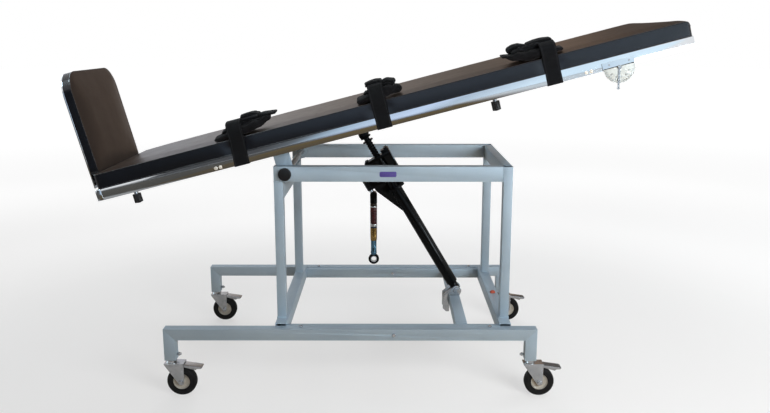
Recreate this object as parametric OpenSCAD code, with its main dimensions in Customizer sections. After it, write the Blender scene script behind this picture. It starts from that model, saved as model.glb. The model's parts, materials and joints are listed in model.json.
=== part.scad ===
// Physiotherapy tilt table with a hand-cranked screw jack, on four braked castors.
// Millimetres, +Z up, +X towards the head end. The origin is on the floor under the middle
// of the whole object. The near side, with the tilt gauge, is at -Y.

/* [Castors] */
// Diameter of each wheel
wheel_d = 100; // [90:2:108]
// Width of each wheel
wheel_w = 30; // [26:1:34]
// Diameter of the wheel hub disc
hub_d = 56; // [50:1:64]
// Diameter of the wheel axle
axle_bolt_d = 10; // [8:1:12]
// Distance of the wheel axle behind the swivel axis
trail = 33; // [28:1:38]
// Height from the floor to the underside of the castor legs
castor_h = 127; // [126:1:136]
// Thickness of the fork's pressed steel
fork_t = 3; // [2:0.5:4]
// Free space between a wheel and each fork cheek
fork_gap = 3; // [2:0.5:4]
// Radius of a fork cheek round the axle
cheek_r = 10; // [9:1:13]
// Length of the fork crown ahead of the swivel axis
crown_front = 22; // [20:1:26]
// Reach of a fork cheek behind the wheel axle
cheek_back = 11; // [9:1:14]
// Diameter of the king pin
king_d = 12; // [10:1:14]
// Diameter of the stem flange
stem_flange_d = 36; // [30:1:38]
// Thickness of the stem flange
stem_flange_t = 4; // [3:0.5:5]
// Diameter of the swivel race under the stem flange
race_d = 32; // [28:1:36]
// Height of the swivel race
race_h = 7; // [6:0.5:8]
// Height of the stem plug inside the castor leg
stem_plug_h = 45; // [35:1:55]
// Reach of the brake pedal from the swivel axis
pedal_reach = 105; // [96:1:112]
// Width of the brake pedal
pedal_w = 34; // [24:1:34]
// Thickness of the brake pedal's tread
pedal_t = 4; // [3:0.5:5]
// Drop of the brake pedal from its pivot to its tip
pedal_drop = 12; // [8:1:15]
// Diameter of the brake pedal's pivot pin
pedal_pin_d = 6; // [5:0.5:7]

/* [Base] */
// Outer length of the castor rails
base_len = 1244; // [1200:2:1300]
// Outer width over the castor rails
base_w = 775; // [765:1:800]
// Height of the castor rails' top
base_top = 237; // [228:1:245]
// Outer size of the square frame tube
tube_s = 38; // [36:1:40]
// Wall of the frame tubes
tube_wall = 2; // [1.5:0.5:3]
// Height of the low cross rails
cross_h = 46; // [42:1:50]
// Width of the tie rails
tie_w = 25; // [20:1:28]
// Step of the tie rails below the castor rails' top
tie_step = 2; // [1:0.5:4]
// Distance from the base's foot end to the box frame's foot end
box_setback = 369; // [360:1:380]
// Diameter of the frame bolts
bolt_d = 8; // [6:1:10]
// Width over the head of a frame bolt
bolt_head_d = 13; // [12:1:16]
// Height of a frame bolt's head
bolt_head_h = 4.5; // [4:0.5:6]
// Distance of the rail bolts from the box frame's foot end
rail_bolt_at = 399; // [380:1:420]
// Distance of the rails' top bolts from the box frame's foot end
top_bolt_foot = 87; // [75:1:100]
// Distance of the rails' top bolts from the box frame's head end
top_bolt_head = 72; // [60:1:85]
// Height of a castor clamp screw above the leg's underside
clamp_up = 17; // [14:1:22]
// Reach of a castor clamp screw out of the leg
clamp_out = 15; // [12:1:20]
// Diameter of the plug in the head cross rail
plug_d = 20; // [14:1:22]
// Distance of the plug from the middle of its rail
plug_y = 17; // [10:1:40]

/* [Box frame] */
// Outer length of the box frame
box_len = 792; // [775:1:810]
// Outer width of the box frame
box_w = 582; // [576:1:588]
// Height of the box frame's top
box_top = 768; // [755:1:775]
// Height of the top rails
rail_h = 50; // [48:1:54]
// Width of the legs and of the upper cross rails, along the table
leg_w = 30; // [28:1:34]
// Step from the top rails down to the foot cross rail
foot_cross_step = 12; // [9:1:20]
// Length of the small plate on the near top rail
badge_len = 56; // [40:1:70]
// Height of the small plate on the near top rail
badge_h = 18; // [12:1:24]
// Thickness of the small plate
badge_t = 1; // [0.8:0.1:2]
// Distance of the small plate from the box frame's foot end
badge_at = 351; // [330:1:370]

/* [Tilt pivot] */
// Distance of the pivot from the box frame's foot end
pivot_inset = 37.5; // [34:0.5:42]
// Diameter of the tilt axle
axle_d = 20; // [18:1:24]
// Diameter of the collars on the top rails
collar_d = 50; // [46:1:50]
// Thickness of the outer collars
collar_t = 4; // [3:0.5:6]
// Thickness of the inner collars
spacer_t = 1.5; // [1:0.5:2]
// Diameter of the axle caps
cap_d = 44; // [38:1:46]
// Thickness of the axle caps
cap_t = 8; // [6:1:12]
// Width of the lugs under the table
lug_w = 54; // [48:1:58]
// Thickness of the lugs under the table
lug_t = 10; // [8:1:12]

/* [Table top] */
// Tilt of the table above level, as it stands here
tilt = 14.5; // [0:0.5:20]
// Length of the table top
table_len = 1980; // [1950:5:2010]
// Width of the table top
table_w = 610; // [606:1:620]
// Thickness of the mattress at its edge
mattress_t = 50; // [44:1:56]
// Crown of the mattress above its edge
mattress_crown = 8; // [5:1:12]
// Corner radius of the mattress at the head end
head_corner_r = 20; // [12:1:40]
// Corner radius of the mattress at the foot end
foot_corner_r = 12; // [8:1:20]
// Reach of the mattress past the rails' foot end
mattress_over = 11; // [5:1:11]
// Height of the table's side rails
side_h = 37; // [34:1:38]
// Width of the table's side rails
side_w = 25; // [23:1:28]
// Wall of the table's side rails
side_wall = 1.5; // [1:0.5:2]
// Thickness of the deck board
deck_t = 12; // [9:1:15]
// Width of a cross tube under the deck
cross_w = 50; // [45:1:54]
// Distance from the foot end to the pivot, along the table
pivot_u = 601; // [590:1:610]
// Distance from the mattress seam down to the pivot
pivot_drop = 155; // [152:1:162]
// Distance from the foot end to the head end pair of clamp knobs
head_knob_u = 1327; // [1315:1:1340]
// Distance from the foot end to the foot end pair of clamp knobs
foot_knob_u = 107; // [95:1:120]
// Diameter of a clamp knob
knob_d = 28; // [24:1:32]
// Height of a clamp knob
knob_h = 29; // [26:1:31]
// Diameter of a clamp knob's neck
knob_neck_d = 14; // [12:1:18]
// Height of a clamp knob's neck
knob_neck_h = 7; // [5:1:9]
// Diameter of a rail screw's head
screw_head_d = 12; // [9:0.5:14]

/* [Straps] */
// Width of the webbing
strap_w = 50; // [40:1:52]
// Thickness of the webbing
strap_t = 2.5; // [2:0.5:3]
// Distance from the foot end to the leg strap
strap_legs_u = 477; // [465:1:490]
// Distance from the foot end to the hip strap
strap_hips_u = 961; // [955:1:975]
// Distance from the foot end to the chest strap
strap_chest_u = 1526; // [1510:1:1540]
// Length of a folded strap pad, along the table
strap_pad_len = 170; // [140:5:200]
// Width of a folded strap pad
strap_pad_w = 110; // [90:5:130]
// Height of a folded strap pad
strap_pad_h = 20; // [14:1:26]
// Length of a strap buckle
buckle_len = 66; // [50:1:80]
// Width of a strap buckle
buckle_w = 46; // [36:1:52]
// Height of a strap buckle
buckle_h = 16; // [10:1:20]

/* [Tilt gauge] */
// Radius of the gauge's half-round dial
dial_r = 50; // [42:1:56]
// Thickness of the dial
dial_t = 3; // [2:0.5:4]
// Distance from the foot end to the gauge's centre
dial_u = 1733; // [1720:1:1745]
// Length of the gauge's mounting strip
dial_strip_len = 104; // [90:2:120]
// Length of the pointer
pointer_len = 72; // [56:1:76]
// Width of the pointer's arm
pointer_w = 6; // [4:1:9]
// Diameter of the pointer's pivot pin
pointer_pin_d = 6; // [4:0.5:8]

/* [Foot board] */
// Width of the foot board
foot_w = 450; // [430:5:470]
// Height of the foot board's pad above the mattress seam
foot_h = 346; // [330:2:360]
// Thickness of the foot board's pad at its edge
foot_pad_t = 27; // [22:1:28]
// Crown of the foot board's pad
foot_crown = 6; // [3:1:9]
// Reach of the foot board's pad below the mattress seam
foot_low = 5; // [0:1:8]
// Radius of the foot board's top corners
foot_top_r = 75; // [50:5:95]
// Thickness of the foot board's back plate
foot_plate_t = 5; // [4:0.5:6]
// Distance from the table's foot end to the back plate
foot_setback = 46; // [45:1:56]
// Width of the cross bar that carries the foot board
bar_w = 20; // [16:1:24]
// Length of a prong inside its side rail
prong_len = 260; // [220:5:300]
// Distance of each bracket arm from the middle
arm_y = 110; // [90:5:140]
// Width of a bracket arm
arm_w = 40; // [30:2:50]
// Thickness of a bracket arm
arm_t = 6; // [5:0.5:8]
// Distance of each foot board screw from the middle
foot_screw_y = 165; // [150:5:180]
// Diameter of a foot board screw's knob
foot_screw_d = 18; // [14:1:22]
// Height of a foot board screw's knob
foot_screw_h = 13; // [10:1:18]

/* [Screw jack] */
// Distance from the box frame's head end to the jack's foot pin
jack_foot_at = 155.5; // [150:0.5:162]
// Height of the jack's foot pin
jack_foot_z = 256; // [254:1:264]
// Distance from the box frame's head end to the jack cross rail's middle
jack_rail_at = 163; // [159:1:168]
// Distance from the table's foot end to the ram pin
ram_pin_u = 871; // [865:1:877]
// Distance from the mattress seam down to the ram pin
ram_pin_drop = 122; // [120:1:126]
// Diameter of the jack's outer tube
jack_d = 42; // [38:1:46]
// Wall of the jack's outer tube
jack_wall = 3; // [2:0.5:4]
// Diameter of the ram
ram_d = 26; // [22:1:28]
// Bore of the ram
ram_bore_d = 16; // [12:1:18]
// Length of the ram inside the tube
ram_inside = 352; // [345:1:360]
// Distance from the foot pin to the gear case's top
case_top = 586; // [578:1:586]
// Height of the gear case's block
case_h = 138; // [125:1:145]
// Reach of the gear case's block, away from the crank
case_reach = 50; // [46:1:54]
// Reach of the crank boss from the jack's axis
boss_reach = 96; // [95:1:100]
// Width of the crank boss along the jack
boss_len = 54; // [48:1:60]
// Distance from the foot pin to the crank boss's lower side
boss_at = 491; // [486:1:495]
// Thickness of the gear case across the table
case_w = 52; // [50:1:60]
// Thickness of the case's top flange
flange_t = 12; // [10:1:14]
// Diameter of the foot pin and the ram pin
jack_pin_d = 16; // [14:1:18]
// Diameter of the foot eye and the ram eye
jack_eye_d = 32; // [30:1:34]
// Width of the foot eye
foot_eye_w = 40; // [36:1:46]
// Width of the ram eye
ram_eye_w = 44; // [42:1:46]
// Thickness of the saddle's ears
ear_t = 6; // [5:0.5:8]
// Thickness of the ram bracket's ears
bracket_t = 8; // [6:1:10]
// Length of the ram bracket along the table
bracket_len = 126; // [120:1:130]
// Diameter of the ram's flange
ram_flange_d = 40; // [34:1:41]
// Thickness of the ram's flange
ram_flange_t = 6; // [5:0.5:8]
// Diameter of the ram's neck, under the eye
ram_neck_d = 22; // [20:1:25]
// Distance from the ram pin down to the top of the ram's lower flange
ram_flange_at = 27; // [26:1:30]
// Step from the top of the lower flange to the upper flange
ram_flange_step = 10; // [8:1:12]

/* [Crank] */
// Offset of the crank shaft from the jack's axis
crank_off = 84; // [80:1:84]
// Diameter of the crank shaft's stub
stub_d = 16; // [14:1:18]
// Length of the stub that shows under the boss
stub_len = 9; // [6:1:12]
// Diameter of the knuckle
knuckle_d = 26; // [24:1:30]
// Height of the knuckle
knuckle_h = 30; // [26:1:34]
// Length from the knuckle's pin to the eye's middle
handle_len = 244; // [230:2:255]
// Diameter of the handle
handle_d = 25; // [22:1:27]
// Outer diameter of the handle's eye
eye_d = 40; // [36:1:44]
// Inner diameter of the handle's eye
eye_bore_d = 18; // [14:1:22]
// Thickness of the handle's eye
eye_t = 14; // [12:1:18]
// Length of the neck between the handle and its eye
handle_neck_h = 26; // [20:1:32]

/* [Hidden] */

// Shared clearances
run_gap = 0.05;
seat_gap = 0.3;
over = 1;

// Fineness of round surfaces and of the radii inside hulls
round_fn = 48;
hull_fn = 32;

// Table top stack, measured down from the mattress seam
rail_bottom = mattress_t + side_h;
deck_half = table_w / 2 - side_w;

// Places in the frame. The pivot is worked out first, then the origin under the middle.
table_reach_foot = (pivot_u + foot_setback + foot_plate_t) * cos(tilt)
    + (pivot_drop + foot_h) * sin(tilt);
table_reach_head = (table_len - pivot_u) * cos(tilt) - (pivot_drop - rail_bottom) * sin(tilt);
pivot_x = (table_reach_foot - table_reach_head) / 2;
pivot_z = box_top - rail_h / 2;
box_x = pivot_x - pivot_inset;
base_x = box_x - box_setback;
jack_x = box_x + box_len - jack_foot_at;
rail_bottom_z = base_top - tube_s;
cross_top_z = rail_bottom_z + cross_h;
base_inner = base_w / 2 - tube_s;
box_inner = box_w / 2 - tube_s;

// A point of the tilted table in the frame: u from the foot end, d down from the seam
function table_x(u, d) = pivot_x + (u - pivot_u) * cos(tilt) + (d - pivot_drop) * sin(tilt);
function table_z(u, d) = pivot_z + (u - pivot_u) * sin(tilt) - (d - pivot_drop) * cos(tilt);

// The jack runs from its foot pin to the ram pin
ram_x = table_x(ram_pin_u, ram_pin_drop);
ram_z = table_z(ram_pin_u, ram_pin_drop);
jack_angle = atan2(ram_z - jack_foot_z, ram_x - jack_x);
jack_reach = norm([ram_x - jack_x, ram_z - jack_foot_z]);

// The knuckle hangs under the crank stub, and the handle under the knuckle
knuckle_s = boss_at - stub_len - knuckle_d / 2 - seat_gap;
knuckle_x = jack_x + knuckle_s * cos(jack_angle) - crank_off * sin(jack_angle);
knuckle_z = jack_foot_z + knuckle_s * sin(jack_angle) + crank_off * cos(jack_angle);

// Castor places: swivel axes under the four castor legs
stem_x = [base_x + tube_s / 2, base_x + base_len - tube_s / 2];
stem_y = base_w / 2 - tube_s / 2;
castor_at = [[stem_x[0], -stem_y], [stem_x[1], -stem_y], [stem_x[0], stem_y], [stem_x[1], stem_y]];

// Castor stack, measured up from the floor
wheel_z = wheel_d / 2;
crown_top = castor_h - stem_flange_t - race_h - seat_gap;
crown_z = crown_top - fork_t;
king_nut_t = 5;
king_nut_d = 20;
cheek_y = wheel_w / 2 + fork_gap;
fork_half = cheek_y + fork_t;
pedal_hub_r = pedal_pin_d * 3 / 4;
pedal_pin_z = crown_z - pedal_hub_r - seat_gap;
pedal_pin_x = trail - fork_t;

// Knob and dial places
knob_at = [[foot_knob_u, -1], [foot_knob_u, 1], [head_knob_u, -1], [head_knob_u, 1]];
stud_d = 8;
knob_grooves = 12;
groove_r = 1.6;
dial_strip_t = 2;
dial_strip_h = 24;
dial_down = rail_bottom - 1;
side_face = table_w / 2;
strap_us = [strap_legs_u, strap_hips_u, strap_chest_u];

// Cross tubes under the deck: both ends, the pivot, both ends of the ram bracket, the chest
end_tube_in = 30;
tube_lap = 24;
bracket_foot_u = ram_pin_u - bracket_len / 2 - cross_w / 2 + tube_lap;
bracket_head_u = ram_pin_u + bracket_len / 2 + cross_w / 2 - tube_lap;
chest_tube_share = 0.73;
tube_us = [end_tube_in, pivot_u, bracket_foot_u, bracket_head_u,
           table_len * chest_tube_share, table_len - end_tube_in];

module both_sides() {
    children();
    mirror([0, 1, 0]) children();
}

// A point set in the tilted table: x along it from the foot end, z up from the mattress seam
module in_table() {
    translate([pivot_x, 0, pivot_z]) rotate([0, -tilt, 0]) translate([-pivot_u, 0, pivot_drop])
        children();
}

// A point set in the jack: x along it from the foot pin, z out towards the crank
module in_jack() {
    translate([jack_x, 0, jack_foot_z]) rotate([0, -jack_angle, 0]) children();
}

module rod_y(r, half) {
    rotate([90, 0, 0]) cylinder(r = r, h = 2 * half, center = true, $fn = round_fn);
}

// A pipe of rectangular section, open at both ends, running along x, y or z
module pipe(size, wall, run) {
    cut = [for (i = [0:2]) i == run ? -over : wall];
    difference() {
        cube(size);
        translate(cut) cube([for (i = [0:2]) size[i] - 2 * cut[i]]);
    }
}

module rounded_plate(size, r) {
    linear_extrude(size[2]) hull()
        for (x = [r, size[0] - r], y = [r, size[1] - r]) translate([x, y]) circle(r, $fn = hull_fn);
}

// Cushions: one closed form from rings, each ring drawn in between its corners
corner_steps = 4;

function arc_points(cx, cy, r, from) =
    [for (i = [0:corner_steps]) [cx + r * cos(from + i * 90 / corner_steps),
                                 cy + r * sin(from + i * 90 / corner_steps)]];

function side_points(p, q, inward, pull, steps) =
    [for (i = [1:steps - 1]) p + (q - p) * i / steps + inward * pull * sin(180 * i / steps)];

function cushion_ring(a, b, ra, rb, pull, steps_a, steps_b) = concat(
    side_points([ra - a, -b], [a - rb, -b], [0, 1], pull, steps_a),
    arc_points(a - rb, rb - b, rb, -90),
    side_points([a, rb - b], [a, b - rb], [-1, 0], pull, steps_b),
    arc_points(a - rb, b - rb, rb, 0),
    side_points([a - rb, b], [ra - a, b], [0, -1], pull, steps_a),
    arc_points(ra - a, b - ra, ra, 90),
    side_points([-a, b - ra], [-a, ra - b], [1, 0], pull, steps_b),
    arc_points(ra - a, ra - b, ra, 180));

// Each row: inset share of half the width, height share of the edge, crown share, pull share
side_shares = [[0.012, 0, 0, 0.5], [0.002, 0.14, 0, 1], [0.006, 0.5, 0, 1], [0, 0.88, 0, 0.6],
               [0.01, 1, 0, 0.5], [0.035, 1, 0.28, 0.3], [0.1, 1, 0.55, 0], [0.24, 1, 0.82, 0],
               [0.5, 1, 0.96, 0], [0.86, 1, 1, 0]];

module cushion(len, wid, thick, crown, ra, rb, pull, steps_a, steps_b) {
    b = wid / 2;
    rings = [for (s = side_shares)
        [for (p = cushion_ring(len / 2 - s[0] * b, b - s[0] * b, ra * (1 - s[0]), rb * (1 - s[0]),
                               pull * s[3], steps_a, steps_b))
            [p[0], p[1], thick * s[1] + crown * s[2]]]];
    n = len(rings[0]);
    last = len(rings) - 1;
    polyhedron(
        points = concat([for (r = rings) each r], [[0, 0, 0], [0, 0, thick + crown]]),
        faces = concat(
            [for (i = [0:n - 1]) [i, (i + 1) % n, len(rings) * n]],
            [for (k = [0:last - 1], i = [0:n - 1]) [k * n + i, (k + 1) * n + i, k * n + (i + 1) % n]],
            [for (k = [0:last - 1], i = [0:n - 1])
                [k * n + (i + 1) % n, (k + 1) * n + i, (k + 1) * n + (i + 1) % n]],
            [for (i = [0:n - 1]) [last * n + (i + 1) % n, last * n + i, len(rings) * n + 1]]));
}

// Base

// A mitred bar seen from the side: along x with both ends cut at 45 degrees, or a short leg
module mitred_rail() {
    s = tube_s;
    w = tube_wall;
    difference() {
        translate([0, s / 2, 0]) rotate([90, 0, 0]) linear_extrude(s)
            polygon([[0, s], [base_len, s], [base_len - s, 0], [s, 0]]);
        translate([0, s / 2 - w, 0]) rotate([90, 0, 0]) linear_extrude(s - 2 * w)
            polygon([[w - over, s - w], [base_len - w + over, s - w],
                     [base_len - s + w + over, w], [s - w - over, w]]);
        translate([rail_bolt_at + box_setback, 0, s / 2]) rod_y(bolt_d / 2 + run_gap, s);
        for (x = top_bolt_x) translate([x - base_x, top_bolt_y - stem_y, s])
            cylinder(r = bolt_d / 2 + run_gap, h = 4 * w, center = true, $fn = round_fn);
    }
}

module mitred_leg() {
    s = tube_s;
    w = tube_wall;
    drop = base_top - castor_h;
    difference() {
        translate([0, s / 2, 0]) rotate([90, 0, 0]) linear_extrude(s)
            polygon([[0, 0], [s, 0], [s, drop - s], [0, drop]]);
        translate([0, s / 2 - w, 0]) rotate([90, 0, 0]) linear_extrude(s - 2 * w)
            polygon([[w, -over], [s - w, -over], [s - w, drop - s + w + over], [w, drop - w + over]]);
        translate([s - 2 * w, 0, clamp_up]) rotate([0, 90, 0])
            cylinder(r = bolt_d / 2 + run_gap, h = 3 * w, $fn = round_fn);
    }
}

module base_rails() {
    color("lightsteelblue") both_sides()
        translate([base_x, stem_y, rail_bottom_z]) mitred_rail();
}

module castor_legs() {
    color("lightsteelblue") both_sides() {
        translate([base_x, stem_y, castor_h]) mitred_leg();
        translate([base_x + base_len, stem_y, castor_h]) mirror([1, 0, 0]) mitred_leg();
    }
}

module cross_rails() {
    color("lightslategray") difference() {
        for (x = [box_x, box_x + box_len - tube_s])
            translate([x, -base_inner, rail_bottom_z])
                pipe([tube_s, 2 * base_inner, cross_h], tube_wall, 1);
        plug_place() cylinder(r = plug_stub_r + run_gap, h = 4 * tube_wall, center = true, $fn = round_fn);
    }
}

plug_stub_r = plug_d / 3;
plug_head_t = 9;

// The plug sits in the top of the head cross rail
module plug_place() {
    translate([box_x + box_len - tube_s / 2, -plug_y, cross_top_z]) children();
}

module hole_plug() {
    color("firebrick") plug_place() {
        cylinder(r = plug_d / 2, h = plug_head_t, $fn = round_fn);
        translate([0, 0, -2 * tube_wall]) cylinder(r = plug_stub_r, h = 3 * tube_wall, $fn = round_fn);
    }
}

tie_h = tube_s - tie_step;
top_bolt_x = [box_x + top_bolt_foot, box_x + box_len - top_bolt_head];
top_bolt_in_share = 0.85;
top_bolt_y = base_inner + bolt_head_d * top_bolt_in_share;

module tie_rails() {
    color("lightslategray") both_sides() difference() {
        translate([box_x + tube_s, base_inner - tie_w, rail_bottom_z])
            pipe([box_len - 2 * tube_s, tie_w, tie_h], tube_wall, 0);
        translate([box_x + rail_bolt_at, base_inner, rail_bottom_z + tube_s / 2])
            rod_y(bolt_d / 2 + run_gap, tie_w + over);
    }
}

module jack_cross_rail() {
    color("lightslategray")
        translate([saddle_x - tube_s / 2, tie_w - base_inner, rail_bottom_z])
            pipe([tube_s, 2 * (base_inner - tie_w), tube_s], tube_wall, 1);
}

module bolt_head() {
    cylinder(d = bolt_head_d, h = bolt_head_h, $fn = 6);
}

// A bolt through a castor rail and its tie rail, with its head outside and its nut inside
module rail_bolt() {
    inner = base_inner - tie_w;
    translate([box_x + rail_bolt_at, base_w / 2, rail_bottom_z + tube_s / 2]) rotate([-90, 0, 0]) {
        bolt_head();
        translate([0, 0, inner - base_w / 2 - bolt_head_h])
            cylinder(d = bolt_d, h = base_w / 2 - inner + bolt_head_h, $fn = round_fn);
        translate([0, 0, inner - base_w / 2 - bolt_head_h]) bolt_head();
    }
}

// A clamp screw bears on a castor's stem plug, and its head stands off the leg
module clamp_screw() {
    reach = tube_wall + seat_gap;
    translate([-reach, 0, 0]) rotate([0, 90, 0]) cylinder(d = bolt_d, h = clamp_out + reach, $fn = round_fn);
    translate([clamp_out - 2 * bolt_head_h, 0, 0]) rotate([0, 90, 0]) bolt_head();
}

module frame_bolts() {
    color("silver") both_sides() {
        rail_bolt();
        for (x = top_bolt_x)
            translate([x, top_bolt_y, base_top]) {
                bolt_head();
                translate([0, 0, -2 * tube_wall]) cylinder(d = bolt_d, h = 2 * tube_wall, $fn = round_fn);
            }
        translate([base_x + tube_s, stem_y, castor_h + clamp_up]) clamp_screw();
        translate([base_x + base_len - tube_s, stem_y, castor_h + clamp_up]) mirror([1, 0, 0]) clamp_screw();
    }
}

// Box frame

module frame_legs() {
    color("lightsteelblue") both_sides() {
        translate([box_x, box_inner, cross_top_z])
            pipe([leg_w, tube_s, box_top - rail_h - cross_top_z], tube_wall, 2);
        translate([box_x + box_len - leg_w, box_inner, cross_top_z])
            pipe([leg_w, tube_s, box_top - cross_top_z], tube_wall, 2);
    }
}

// A top rail on the +y side, with its welded collars and the bore for the axle
module top_rail() {
    difference() {
        union() {
            translate([box_x, box_inner, box_top - rail_h])
                pipe([box_len - leg_w, tube_s, rail_h], tube_wall, 0);
            translate([pivot_x, box_w / 2 + collar_t / 2 - over / 2, pivot_z])
                rod_y(collar_d / 2, (collar_t + over) / 2);
            translate([pivot_x, box_inner - spacer_t / 2 + over / 2, pivot_z])
                rod_y(collar_d / 2, (spacer_t + over) / 2);
        }
        translate([pivot_x, box_inner, pivot_z]) rod_y(axle_d / 2 + run_gap, 2 * tube_s);
    }
}

module top_rail_near() {
    color("lightsteelblue") mirror([0, 1, 0]) top_rail();
}

module top_rail_far() {
    color("lightsteelblue") top_rail();
}

module top_cross_head() {
    color("lightslategray") translate([box_x + box_len - leg_w, -box_inner, box_top - rail_h])
        pipe([leg_w, 2 * box_inner, rail_h], tube_wall, 1);
}

module top_cross_foot() {
    color("lightslategray")
        translate([box_x, -box_inner, box_top - 2 * rail_h - foot_cross_step])
            pipe([leg_w, 2 * box_inner, rail_h], tube_wall, 1);
}

module name_plate() {
    color("slateblue")
        translate([box_x + badge_at, -box_w / 2, pivot_z - badge_h / 2]) rotate([90, 0, 0])
            rounded_plate([badge_len, badge_h, badge_t], badge_h / 4);
}

module tilt_axle() {
    color("gray") translate([pivot_x, 0, pivot_z]) rod_y(axle_d / 2, box_w / 2 + collar_t - seat_gap);
}

cap_edge_share = 0.45;
cap_top_share = 0.86;

module axle_caps() {
    color("black") both_sides()
        translate([pivot_x, box_w / 2 + collar_t, pivot_z]) rotate([-90, 0, 0])
            rotate_extrude($fn = round_fn)
                polygon([[0, 0], [cap_d / 2, 0], [cap_d / 2, cap_t * cap_edge_share],
                         [cap_d / 2 * cap_top_share, cap_t], [0, cap_t]]);
}

// Castors

module castor_stems() {
    color("gainsboro") for (p = castor_at) translate([p[0], p[1], 0]) {
        plug = tube_s - 2 * tube_wall - 2 * seat_gap;
        translate([-plug / 2, -plug / 2, castor_h]) cube([plug, plug, stem_plug_h]);
        translate([0, 0, castor_h - stem_flange_t]) cylinder(d = stem_flange_d, h = stem_flange_t, $fn = round_fn);
        translate([0, 0, castor_h - stem_flange_t - race_h]) cylinder(d = race_d, h = race_h, $fn = round_fn);
        translate([0, 0, crown_z - seat_gap - king_nut_t])
            cylinder(d = king_d, h = castor_h - crown_z + seat_gap + king_nut_t, $fn = round_fn);
        translate([0, 0, crown_z - seat_gap - king_nut_t])
            cylinder(d = king_nut_d, h = king_nut_t, $fn = round_fn);
    }
}

// One fork cheek from the side, with holes for the axle and the pedal's pin
module cheek() {
    difference() {
        rotate([90, 0, 0]) linear_extrude(fork_t, center = true) difference() {
            hull() {
                translate([-crown_front, crown_z]) square([crown_front + trail + cheek_back, fork_t]);
                translate([0, pedal_pin_z - pedal_pin_d])
                    square([trail + cheek_back, crown_z - pedal_pin_z + pedal_pin_d]);
                translate([trail, wheel_z]) circle(cheek_r, $fn = hull_fn);
            }
        }
        translate([trail, 0, wheel_z]) rod_y(axle_bolt_d / 2 + run_gap, fork_t);
    }
}

module castor_fork(p) {
    color("silver") translate([p[0], p[1], 0]) {
        difference() {
            union() {
                for (y = [-1, 1]) translate([0, y * (cheek_y + fork_t / 2), 0]) cheek();
                translate([-crown_front, -fork_half, crown_z])
                    cube([crown_front + trail + cheek_back, 2 * fork_half, fork_t]);
                translate([pedal_pin_x, 0, pedal_pin_z]) rod_y(pedal_pin_d / 2, fork_half);
            }
            cylinder(r = king_d / 2 + run_gap, h = castor_h, $fn = round_fn);
        }
        translate([trail, 0, wheel_z]) axle_bolt();
    }
}

// The wheel's axle bolt, with a head on each side of the fork
module axle_bolt() {
    head_at = fork_half + run_gap;
    rod_y(axle_bolt_d / 2, head_at + bolt_head_h / 2);
    for (y = [-1, 1]) translate([0, y * (head_at + bolt_head_h / 2), 0]) rod_y(bolt_head_d / 2, bolt_head_h / 2);
}

hub_boss_share = 0.4;
hub_web_share = 0.7;
hub_rim_share = 0.9;

module castor_hub(p) {
    r = hub_d / 2;
    half = wheel_w / 2;
    color("darkgray") translate([p[0] + trail, p[1], wheel_z]) rotate([90, 0, 0])
        rotate_extrude($fn = round_fn) {
            bore = axle_bolt_d / 2 + run_gap;
            translate([bore, -half - seat_gap]) square([r * hub_boss_share - bore, 2 * (half + seat_gap)]);
            translate([bore, -half * hub_web_share]) square([r - bore, 2 * half * hub_web_share]);
            translate([r * hub_rim_share, -half * hub_rim_share])
                square([r * (1 - hub_rim_share), 2 * half * hub_rim_share]);
        }
}

tyre_edge_share = 0.3;

module castor_tyre(p) {
    r = wheel_d / 2;
    half = wheel_w / 2;
    edge = wheel_w * tyre_edge_share;
    color("black") translate([p[0] + trail, p[1], wheel_z]) rotate([90, 0, 0])
        rotate_extrude($fn = 2 * round_fn) intersection() {
            translate([hub_d / 2 + run_gap, -half]) square([r - hub_d / 2 - run_gap, wheel_w]);
            hull() {
                translate([hub_d / 2, -half]) square([edge, wheel_w]);
                for (y = [-1, 1]) translate([r - edge, y * (half - edge)]) circle(edge, $fn = hull_fn);
            }
        }
}

// The pedal's outline from the side: the tread above, the shoe below it over the tyre
module brake_pedal(p) {
    px = pedal_pin_x;
    pz = pedal_pin_z;
    r = pedal_pin_d;
    tip = pedal_reach;
    tip_z = pz - pedal_drop + pedal_hub_r;
    shoe_x = trail + wheel_d / 2;
    shoe_z = wheel_z + wheel_d / 2 - wheel_d / 12;
    color("silver") translate([p[0], p[1], 0]) difference() {
        rotate([90, 0, 0]) linear_extrude(pedal_w, center = true) union() {
            translate([px, pz]) circle(pedal_hub_r, $fn = round_fn);
            polygon([[px, pz + r / 2], [px, pz - r / 2], [px + 2 * r, pz - r / 2 - pedal_t / 2],
                     [shoe_x, shoe_z], [shoe_x + pedal_t, shoe_z + pedal_t],
                     [tip - pedal_t, tip_z - pedal_t], [tip, tip_z], [tip - pedal_t, tip_z + pedal_t / 2],
                     [px + 2 * r, pz + r / 2]]);
        }
        translate([px, 0, pz]) rod_y(pedal_pin_d / 2 + run_gap, pedal_w);
    }
}

// Table top

module mattress() {
    color("black") in_table()
        translate([(table_len - mattress_over) / 2, 0, seat_gap - mattress_t])
            cushion(table_len + mattress_over, table_w, mattress_t - seat_gap, mattress_crown,
                    foot_corner_r, head_corner_r, seat_gap, 12, 6);
}

module deck_board() {
    color("burlywood") in_table()
        translate([seat_gap, seat_gap - deck_half, -mattress_t - deck_t])
            cube([table_len - 2 * seat_gap, 2 * (deck_half - seat_gap), deck_t]);
}

// A side rail on the +y side: open at the foot end for the prong, closed at the head end
module side_rail() {
    difference() {
        translate([0, deck_half, -rail_bottom]) cube([table_len, side_w, side_h]);
        translate([-over, deck_half + side_wall, side_wall - rail_bottom])
            cube([table_len - side_wall + over, side_w - 2 * side_wall, side_h - 2 * side_wall]);
        for (u = [foot_knob_u, head_knob_u])
            translate([u, side_mid, -rail_bottom - side_h / 2])
                cylinder(r = stud_d / 2 + run_gap, h = side_h, $fn = round_fn);
    }
}

side_mid = deck_half + side_w / 2;

module side_rail_near() {
    color("silver") in_table() mirror([0, 1, 0]) side_rail();
}

module side_rail_far() {
    color("silver") in_table() side_rail();
}

cross_tube_h = side_h - deck_t;

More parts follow.
